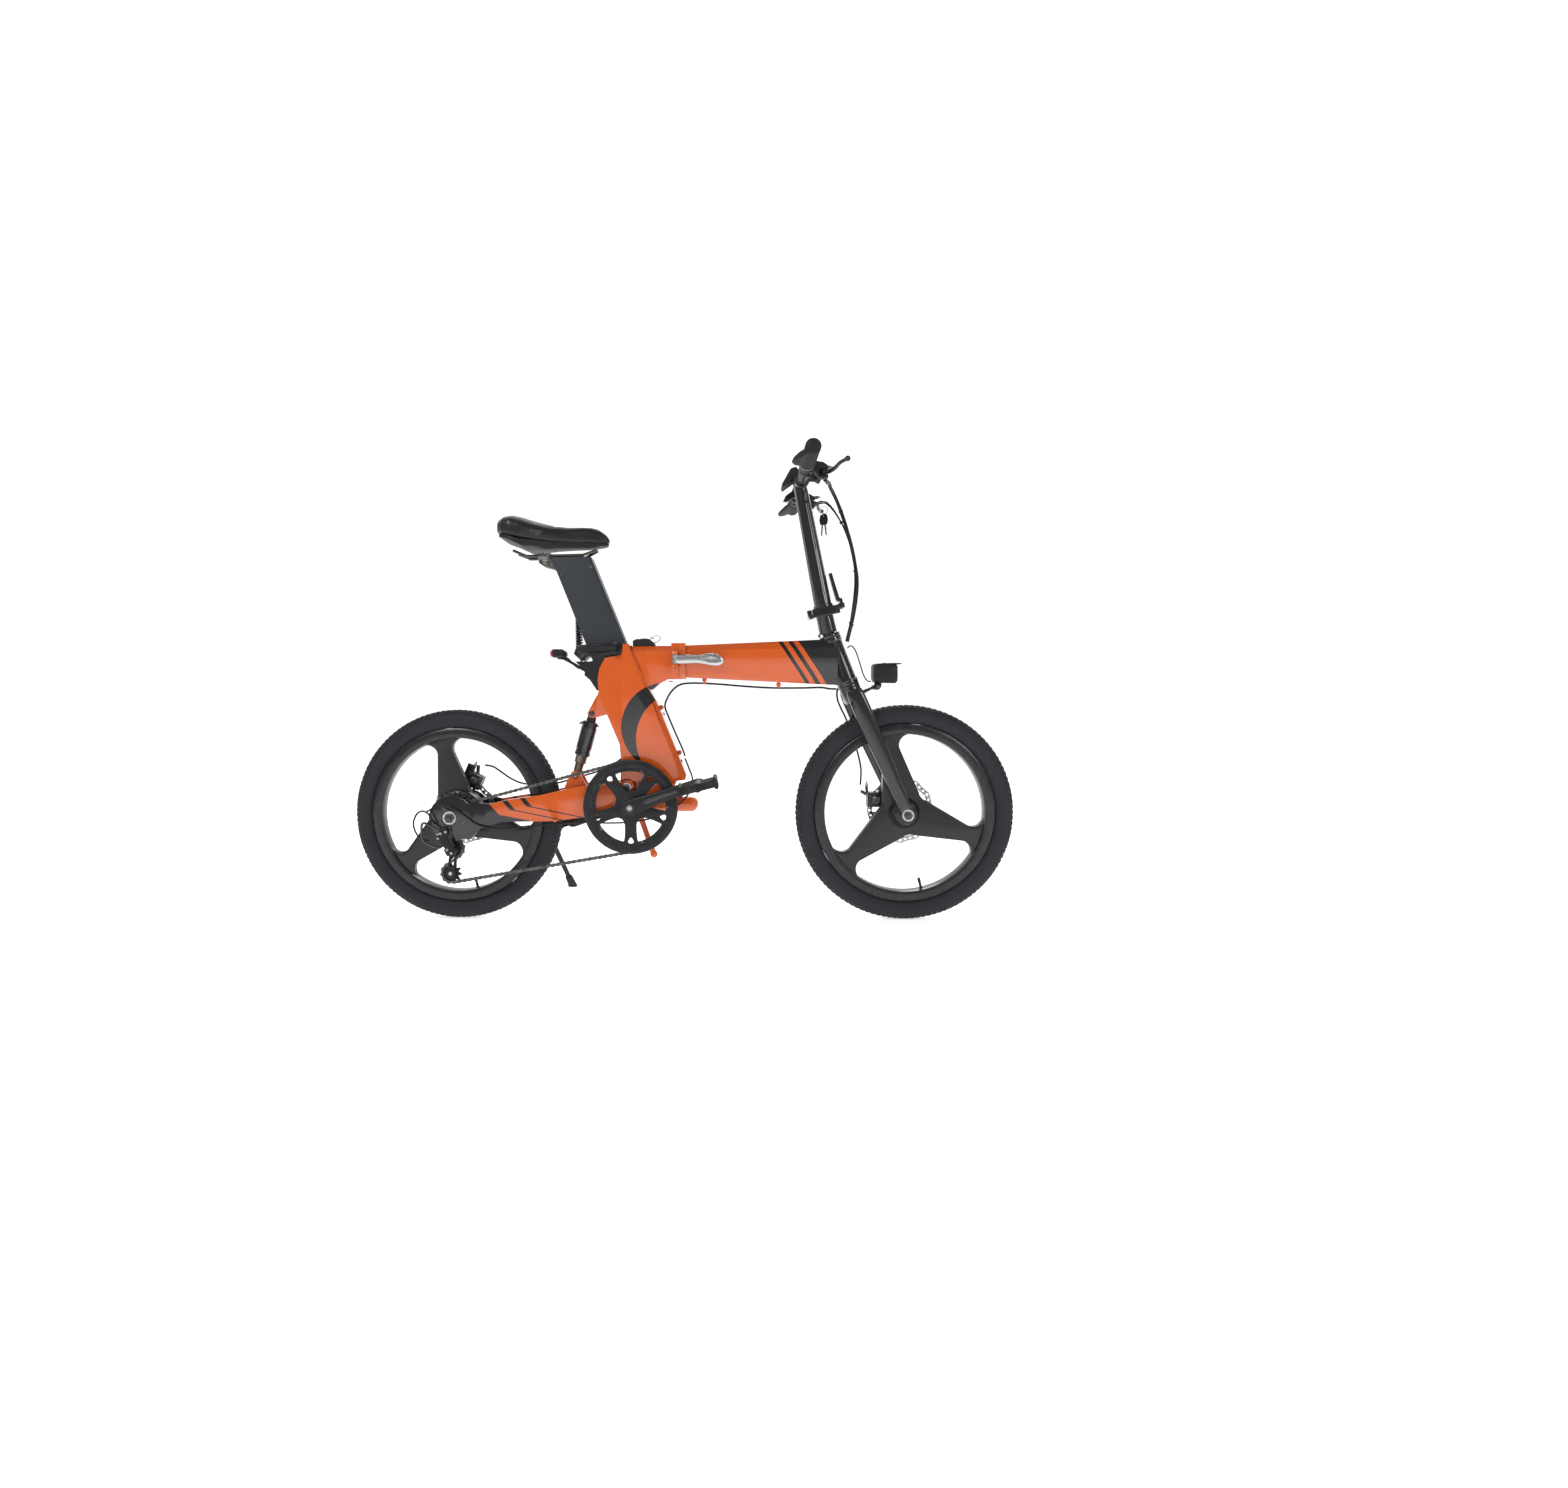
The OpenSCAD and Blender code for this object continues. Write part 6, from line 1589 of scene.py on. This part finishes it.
def pedal(side, angle):
    """A folding-style plastic pedal: cage with cross bars, raised grip teeth, end reflectors and a barrel."""
    eye = Vector((CRANK[0], 0, CRANK[1])) + Vector((math.cos(math.radians(angle)), 0,
        math.sin(math.radians(angle)))) * 170
    parts = [dress(lathe("barrel", (0, 0, 0), [(4.7, -180), (9, -180), (10.4, -178), (10.8, -150),
        (10.8, -110), (11, -96), (9.4, -92.4), (4.7, -92.4)], 36), plastic)]
    for x0, x1 in ((-46, -36), (36, 46)):
        parts.append(dress(loft("rail", [(((x0 + x1) / 2, y, 0), (4.8 - 1.4 * (abs(y + 136) > 42), 0, 0),
            (0, 0, 12.2 - 2 * (abs(y + 136) > 42)))
            for y in (-180, -178, -150, -120, -94, -92)], 28, 5), plastic))
    for y in (-175, -158, -141, -124, -105, -97):
        parts.append(dress(block("bar", (0, y, 0), (84, 5.4, 17), 1.4), plastic))
    tooth = block("tooth", (0, 0, 0), (3.4, 3.4, 3.0), 0.8, None, 1)
    for x in (-41, 41):
        for z in (12.4, -12.4):
            parts.append(repeated("teeth", [(x, -174, z), (x, -98, z)], tooth, 11, plastic, (1, 0, 0),
                closed=False))
    bpy.data.objects.remove(tooth)
    for x in (-46.2, 46.2):
        parts.append(dress(block("reflector", (x, -136, 0), (1.6, 46, 12), 0.6), amber))
    piece = join("pedal", parts)
    piece.data.transform(Matrix.Translation(eye * MM) @ Matrix.Rotation(math.radians(-14), 4, "Y"))
    if side > 0:
        twin = mirrored(piece, "pedal_left_finish")
        bpy.data.objects.remove(piece)
        return twin
    piece.name = "pedal_right_finish"
    return piece


place_on(pedal(-1, 19), "pedal_right", "black_plastic", "pedal_right")
place_on(pedal(1, 199), "pedal_left", "black_plastic", "pedal_left")


def chain_path():
    """The pitch line round ring, tension pulley, guide pulley and sprocket."""
    loop = [(CRANK, pitch_radius(52), -1), (TENSION, pitch_radius(11), -1), (GUIDE, pitch_radius(11), 1),
        (REAR_HUB, pitch_radius(11), -1)]

    def leave(i):
        (c0, r0, d0), (c1, r1, d1) = loop[i], loop[(i + 1) % 4]
        dx, dz = c1[0] - c0[0], c1[1] - c0[1]
        return math.atan2(dz, dx) + math.asin((d0 * r0 - d1 * r1) / math.hypot(dx, dz))

    points = []
    for i in range(4):
        (c, r, d) = loop[i]
        start, end = leave(i - 1) - d * math.pi / 2, leave(i) - d * math.pi / 2
        sweep = (end - start) % (2 * math.pi) if d > 0 else -((start - end) % (2 * math.pi))
        points += [(c[0] + r * math.cos(start + sweep * k / 28), CHAIN_Y,
            c[1] + r * math.sin(start + sweep * k / 28)) for k in range(29)]
    return points


def chain():
    """Half-inch chain: rollers, and outer and inner link plates in turn."""
    path = chain_path()
    length = sum((Vector(b) - Vector(a)).length for a, b in zip(path, path[1:] + path[:1]))
    links = 2 * round(length / PITCH / 2)
    pin = lathe("pin", (0, 0, 0), [(0, -4.0), (1.8, -4.0), (1.8, 4.0), (0, 4.0)], 10, False)
    roller = lathe("roller", (0, 0, 0), [(1.8, -1.5), (3.9, -1.5), (3.9, 1.5), (1.8, 1.5)], 12)
    units = []
    for gap, edge in ((2.2, 1.0), (3.3, 1.0)):
        outline = []
        for k in range(9):
            a = math.pi / 2 + math.pi * k / 8
            outline.append((-PITCH / 2 + 4.1 * math.cos(a), 4.1 * math.sin(a)))
        outline += [(-2.2, -2.9), (2.2, -2.9)]
        for k in range(9):
            a = -math.pi / 2 + math.pi * k / 8
            outline.append((PITCH / 2 + 4.1 * math.cos(a), 4.1 * math.sin(a)))
        outline += [(2.2, 2.9), (-2.2, 2.9)]
        plates = [plate("link", [outline], min(s * gap, s * (gap + 0.95)), max(s * gap, s * (gap + 0.95)),
            0.2, 1) for s in (-1, 1)]
        units.append(join("link", plates))
    made = []
    joints = repeated("rollers", path, join("knuckle", [pin, roller]), links, dark_steel)
    bpy.data.objects.remove(bpy.data.objects["knuckle"])
    made.append(joints)
    # the plates sit halfway between the rollers
    fine = even_path(path, links)
    middle = [(Vector(a) + Vector(b)) / 2 for a, b in zip(fine, fine[1:] + fine[:1])]
    for phase, unit in enumerate(units):
        made.append(repeated("plates", middle, unit, links, dark_steel, every=2, phase=phase))
        bpy.data.objects.remove(unit)
    return join("chain_finish", made)


def even_path(path, count):
    """count points at equal steps round a closed path."""
    points = [Vector(p) for p in path]
    gaps = [(b - a).length for a, b in zip(points, points[1:] + points[:1])]
    total, out, i, walked = sum(gaps), [], 0, 0.0
    for k in range(count):
        goal = total * k / count
        while walked + gaps[i] < goal:
            walked += gaps[i]
            i += 1
        out.append(points[i].lerp(points[(i + 1) % len(points)], (goal - walked) / max(gaps[i], 1e-6)))
    return out


flexing(chain(), "chain")


def freewheel():
    parts = []
    for i, teeth in enumerate((11, 13, 15, 18, 21, 24, 28)):
        y = CHAIN_Y + 4.9 * i
        holes = [circle(REAR_HUB, 17.2, 48)]
        parts.append(plate("cog", [sprocket_outline(REAR_HUB, teeth, 0.1 * i)] + holes, y - 1.1, y + 1.1,
            0.35, 1))
    parts.append(lathe("body", (REAR_HUB[0], 0, REAR_HUB[1]),
        [(8.2, CHAIN_Y - 2), (16, CHAIN_Y - 2), (17.4, CHAIN_Y - 1), (17.4, -23.4), (8.2, -23.4)], 56))
    for part in parts:
        dress(part, dark_steel)
    return join("freewheel_finish", parts)


place_on(freewheel(), "freewheel", "steel", "freewheel")
for name, spot, body in (("guide_pulley", GUIDE, "guide_pulley"),
        ("tension_pulley", TENSION, "tension_pulley")):
    wheel = plate("wheel", [sprocket_outline(spot, 11, 0.2), circle(spot, 3.2, 20)] +
        [circle((spot[0] + 8.6 * math.cos(a), spot[1] + 8.6 * math.sin(a)), 1.9, 14)
        for a in [2 * math.pi * k / 6 for k in range(6)]], CHAIN_Y - 1.1, CHAIN_Y + 1.1, 0.4, 1)
    place_on(join(name + "_finish", [dress(wheel, plastic)]), body, "black_plastic", name)


def derailleur():
    """Long-cage rear derailleur: hanger, knuckles, links with a spring, cage, guard hoop."""
    parts = []
    for y in (CHAIN_Y - 7, CHAIN_Y + 4.6):
        lean = math.degrees(math.atan2(TENSION[1] - GUIDE[1], TENSION[0] - GUIDE[0]))
        span = math.hypot(GUIDE[0] - TENSION[0], GUIDE[1] - TENSION[1])
        outline = [(13 * math.cos(math.radians(a)), 13 * math.sin(math.radians(a))) for a in range(90, 271,
            15)]
        outline += [(span * 0.3, -8.5), (span * 0.7, -8.5)]
        outline += [(span + 12 * math.cos(math.radians(a)),
            12 * math.sin(math.radians(a))) for a in range(-90, 91, 15)]
        outline += [(span * 0.7, 8.5), (span * 0.3, 8.5)]
        window = [(span * 0.32, -4.4), (span * 0.68, -4.4), (span * 0.72, 0), (span * 0.68, 4.4),
            (span * 0.32, 4.4), (span * 0.28, 0)]
        cage = plate("cage", [turned(outline, GUIDE, lean), turned(window, GUIDE, lean)], y, y + 2, 0.6, 2)
        parts.append(dress(cage, black_satin))
    for spot in (GUIDE, TENSION):
        parts.append(dress(lathe("pin", (spot[0], CHAIN_Y, spot[1]),
            [(0, -8.6), (4.4, -8.6), (4.6, -7), (3, -6.8), (3, 5), (0, 5)], 24, False), steel))
    parts.append(dress(lathe("knuckle", (GUIDE[0], 0, GUIDE[1]),
        [(0, -90), (9, -90), (12.6, -88), (13.4, -84), (13.4, -70), (12, -66), (12, -62.4),
        (0, -62.4)], 40, False), plastic))
    parts.append(dress(lathe("upper", (-543, 0, 222), [(0, -91.4), (8, -91.4), (11.6, -89), (12, -80),
        (11, -76), (0, -76)], 40, False), plastic))
    for y in (-90.5, -80.5):
        arm = loft("link", [((-548, y, 220), (9, 0, 5), (0, 3.0, 0)),
            ((-540, y, 204), (10, 0, 3), (0, 3.4, 0)), ((-532, y, 190), (10, 0, 3), (0, 3.4, 0)),
            ((-526, y, 176), (9, 0, 4), (0, 3, 0))], 28, 3)
        parts.append(dress(arm, plastic if y < -85 else dark_steel))
    coil = []
    for k in range(97):
        t = k / 96
        a = 2 * math.pi * 8 * t
        q = Vector((-546, -85.5, 212)).lerp(Vector((-528, -85.5, 180)), t)
        coil.append(q + Vector((0.86, 0, 0.5)) * 3.4 * math.cos(a) + Vector((0, 1, 0)) * 3.4 * math.sin(a))
    parts.append(dress(tube("spring", coil, 0.6, 6), steel))
    for x, z in ((-549, 219), (-537, 223), (-524, 173), (-534, 181)):
        parts.append(dress(bolt("bolt", (x, -92.4, z), (0, -1, 0), 3.0, 1.6), steel))
    hanger = plate("hanger", [[(-548, 238), (-551, 208), (-538, 203), (-527, 204), (-529, 234)]], -79,
        -75.8, 0.7, 2)
    parts.append(dress(hanger, dark_steel))
    for z in (216, 206):
        parts.append(dress(bolt("stop", (-555, -84, z), (-1, 0, 0), 1.8, 6), steel))
    hoop = smooth_route([(-546, -85, 222), (-566, -92, 234), (-584, -95.5, 244), (-591, -96, 240),
        (-592, -96, 226), (-592, -96, 210), (-586, -95.5, 200), (-570, -91, 190), (-554, -87, 184)], 60)
    parts.append(dress(tube("hoop", hoop, 2.8, 14), dark_steel))
    return join("derailleur_finish", parts)


place_on(derailleur(), "swingarm", "black_plastic", "derailleur")


def kickstand():
    """Pivot barrel, curved leg and a rubber foot."""
    top = Vector((-346, 58, 238))
    axis = Vector((0.1664, 0.8234, 0.5424))
    barrel = lathe("barrel", top, [(3.1, 0), (9.4, 0), (10, 0.8), (10, 11.2), (9.4, 12), (3.1, 12)], 36,
        True, axis)
    route = smooth_route([(-345, 63.5, 234), (-341, 70, 221), (-332, 90, 186), (-312, 131, 117),
        (-294, 169, 53)], 40)
    leg = tube("leg", route, lambda t: 7.2 - 1.3 * t, 24)
    shoe = loft("shoe", [((-298, 161, 67), (8, 0, 1), (0, 8, 2)), ((-295, 167, 57), (9, 0, 1), (0, 9, 2)),
        ((-291, 174, 44), (10.5, 0, 0), (0, 9.6, 0)), ((-290, 176, 38), (12.5, 0, 0), (0, 9.4, 0)),
        ((-290, 176, 36), (10, 0, 0), (0, 7, 0))], 32, 3)
    cap = bolt("bolt", top + axis * 12.4, axis, 5.4, 3)
    return join("kickstand_finish", [dress(barrel, black_satin), dress(leg, black_satin),
        dress(shoe, rubber), dress(cap, dark_steel)])


place_on(kickstand(), "kickstand", "black_paint", "kickstand")


# ---- cables
def bundle(name, route, width, strands, twist):
    """Several housings laid together with ties round them."""
    path = smooth_route(route, 120)
    parts = []
    for k in range(strands):
        shifted = []
        for i, p in enumerate(path):
            ahead = (path[min(i + 1, len(path) - 1)] - path[max(i - 1, 0)]).normalized()
            side = ahead.cross(Vector((0, 1, 0.001))).normalized()
            other = ahead.cross(side)
            a = 2 * math.pi * (k / strands + twist * i / len(path))
            shifted.append(p + (side * math.cos(a) + other * math.sin(a)) * width * 0.27)
        parts.append(dress(tube("strand", shifted, width * 0.23, 10), cable_skin))
    for share in (0.12, 0.36, 0.6, 0.86):
        i = int(share * (len(path) - 1))
        ahead = (path[i + 1] - path[i - 1]).normalized()
        ring = lathe("tie", path[i], [(width * 0.5, -1.6), (width * 0.56, -1.6), (width * 0.56, 1.6),
            (width * 0.5, 1.6)], 24, True, ahead)
        parts.append(dress(ring, plastic))
    return join(name, parts)


bar_right = [(338, -130, 1000), (346, -104, 1000), (352, -76, 1004), (360, -48, 1000), (372, -22, 986),
    (388, 0, 958), (403, 12, 922),
    (415, 18, 880), (423, 21, 838), (426, 21, 800), (424, 20, 764), (419, 17, 730), (413, 13, 700),
    (407, 9, 674), (403, 7, 656)]
bar_left = [(338, 130, 1000), (346, 112, 1002), (356, 92, 1000), (366, 74, 992), (382, 54, 966),
    (401, 40, 926), (416, 33, 882), (426, 31, 838),
    (430, 30, 800), (428, 29, 764), (423, 26, 730), (417, 22, 700), (411, 18, 674), (407, 16.5, 656)]
bars = join("bar_cables_full", [bundle("right_bundle", bar_right, 9.4, 3, 1.2),
    bundle("left_bundle", bar_left, 7.8, 2, 0.8)])
flexing(bars, "bar_cables")

fork_lines = [(384, 18, 548), (381, 25, 537), (384, 34, 518), (393, 42, 498), (405, 47, 474),
    (418, 52, 440), (430, 56, 405), (439, 60, 372), (443, 61, 345), (441, 60.5, 312)]
lamp_lines = [(402, -6, 640), (409, -12, 645), (419, -14, 634), (429, -13, 606), (438, -10, 578),
    (448, -7, 563), (456, -6, 562)]
flexing(join("fork_cables_full", [dress(tube("line", smooth_route(fork_lines, 90), 2.2, 12), cable_skin)]),
    "fork_cables")
place_on(join("lamp_cable", [dress(tube("line", smooth_route(lamp_lines, 60), 1.5, 10), cable_skin)]),
    "fork", "cable")

frame_lines = [(376, -10, 545), (358, -9.5, 546), (340, -9, 549), (300, -8, 548.5), (241, -8, 549),
    (200, -8, 551), (150, -8, 555),
    (110, -8, 559), (67, -8, 562), (34, -8, 563), (10, -8, 560), (-8, -8, 548), (-22, -7, 528),
    (-28, -3, 508), (-20, 0, 484), (-4, 0, 445), (12, 0, 408), (18, 0, 390)]
lines = [dress(tube("line", smooth_route(frame_lines, 160), 2, 12), cable_skin),
    dress(tube("line", smooth_route([(x, y + 5, z - 0.5) for x, y, z in frame_lines], 160), 2, 12),
    cable_skin)]
flexing(join("frame_cable_full", lines), "frame_cable")

brake_line = [(-486, 69, 366), (-466, 69, 362), (-446, 66, 350), (-420, 58, 334), (-390, 52, 322),
    (-350, 50, 318), (-300, 50, 322),
    (-250, 49, 336), (-200, 46, 350), (-160, 44, 368), (-120, 41, 396), (-80, 41, 430)]
shift_line = [(-564, -86, 240), (-576, -87, 262), (-590, -87, 271), (-605, -87, 265), (-614, -87, 244),
    (-610, -86, 222), (-598, -84, 206), (-578, -82, 200)]
shift_front = [(-586, -79, 268), (-566, -79.5, 278), (-540, -79.5, 281), (-516, -79.5, 274),
    (-492, -79.5, 258), (-468, -78, 240),
    (-436, -70, 228), (-400, -58, 226), (-350, -50.5, 230), (-288, -48.8, 234), (-220, -47, 238),
    (-160, -46, 236), (-110, -45, 238), (-60, -40, 246), (-20, -32, 262), (20, -24, 292), (36, -8, 330),
    (26, 0, 364), (18, 0, 384)]
lines = [dress(tube("line", smooth_route(brake_line, 110), 2.2, 12), cable_skin),
    dress(tube("line", smooth_route(shift_line, 60), 2, 12), cable_skin),
    dress(tube("line", smooth_route(shift_front, 150), 2, 12), cable_skin)]
for x, y, z in ((-320, -49.6, 232), (-220, -47, 238)):
    lines.append(dress(lathe("tie", (x, y, z), [(2.2, -1.4), (2.8, -1.4), (2.8, 1.4), (2.2, 1.4)], 20, True,
        Vector((1, 0, 0.03))), plastic))
flexing(join("swing_cables_full", lines), "swing_cables")


def coil_lead():
    """The battery's lead: a close coil beside the seat post with a straight tail at each end."""
    turns, low, high = 23, 634, 780
    spring = []
    for k in range(turns * 24 + 1):
        a = 2 * math.pi * k / 24
        spring.append(Vector((-240 + 7.2 * math.cos(a), 50.5 + 7.2 * math.sin(a),
            low + (high - low) * k / (turns * 24))))
    tails = [[(-232.8, 50.5, 634), (-233.5, 50.2, 627), (-236, 49.5, 620), (-236, 48, 612), (-228, 42, 606),
        (-222, 36.4, 604)],
        [(-232.8, 50.5, 780), (-233.5, 50, 787), (-238, 49.5, 794), (-241, 44, 800), (-242, 36, 803),
        (-242, 30.2, 803.5)]]
    parts = [tube("coil", spring, 2.3, 8)] + [tube("tail", smooth_route(t, 30), 2.2, 10) for t in tails]
    for part in parts:
        dress(part, cable_skin)
    parts.append(dress(lathe("plug", (-242, 30.4, 803.5), [(0, 0), (5.4, 0), (5.4, 5), (3.2, 9), (0, 9)],
        24, False, Vector((0, 1, 0))), plastic))
    parts.append(dress(lathe("plug", (-222, 34.2, 604), [(0, 0), (4.6, 0), (4.6, 3), (3, 6), (0, 6)], 24,
        False, Vector((0, 1, 0))), plastic))
    return join("coil_cable_full", parts)


flexing(coil_lead(), "coil_cable")

aim_camera()
studio()
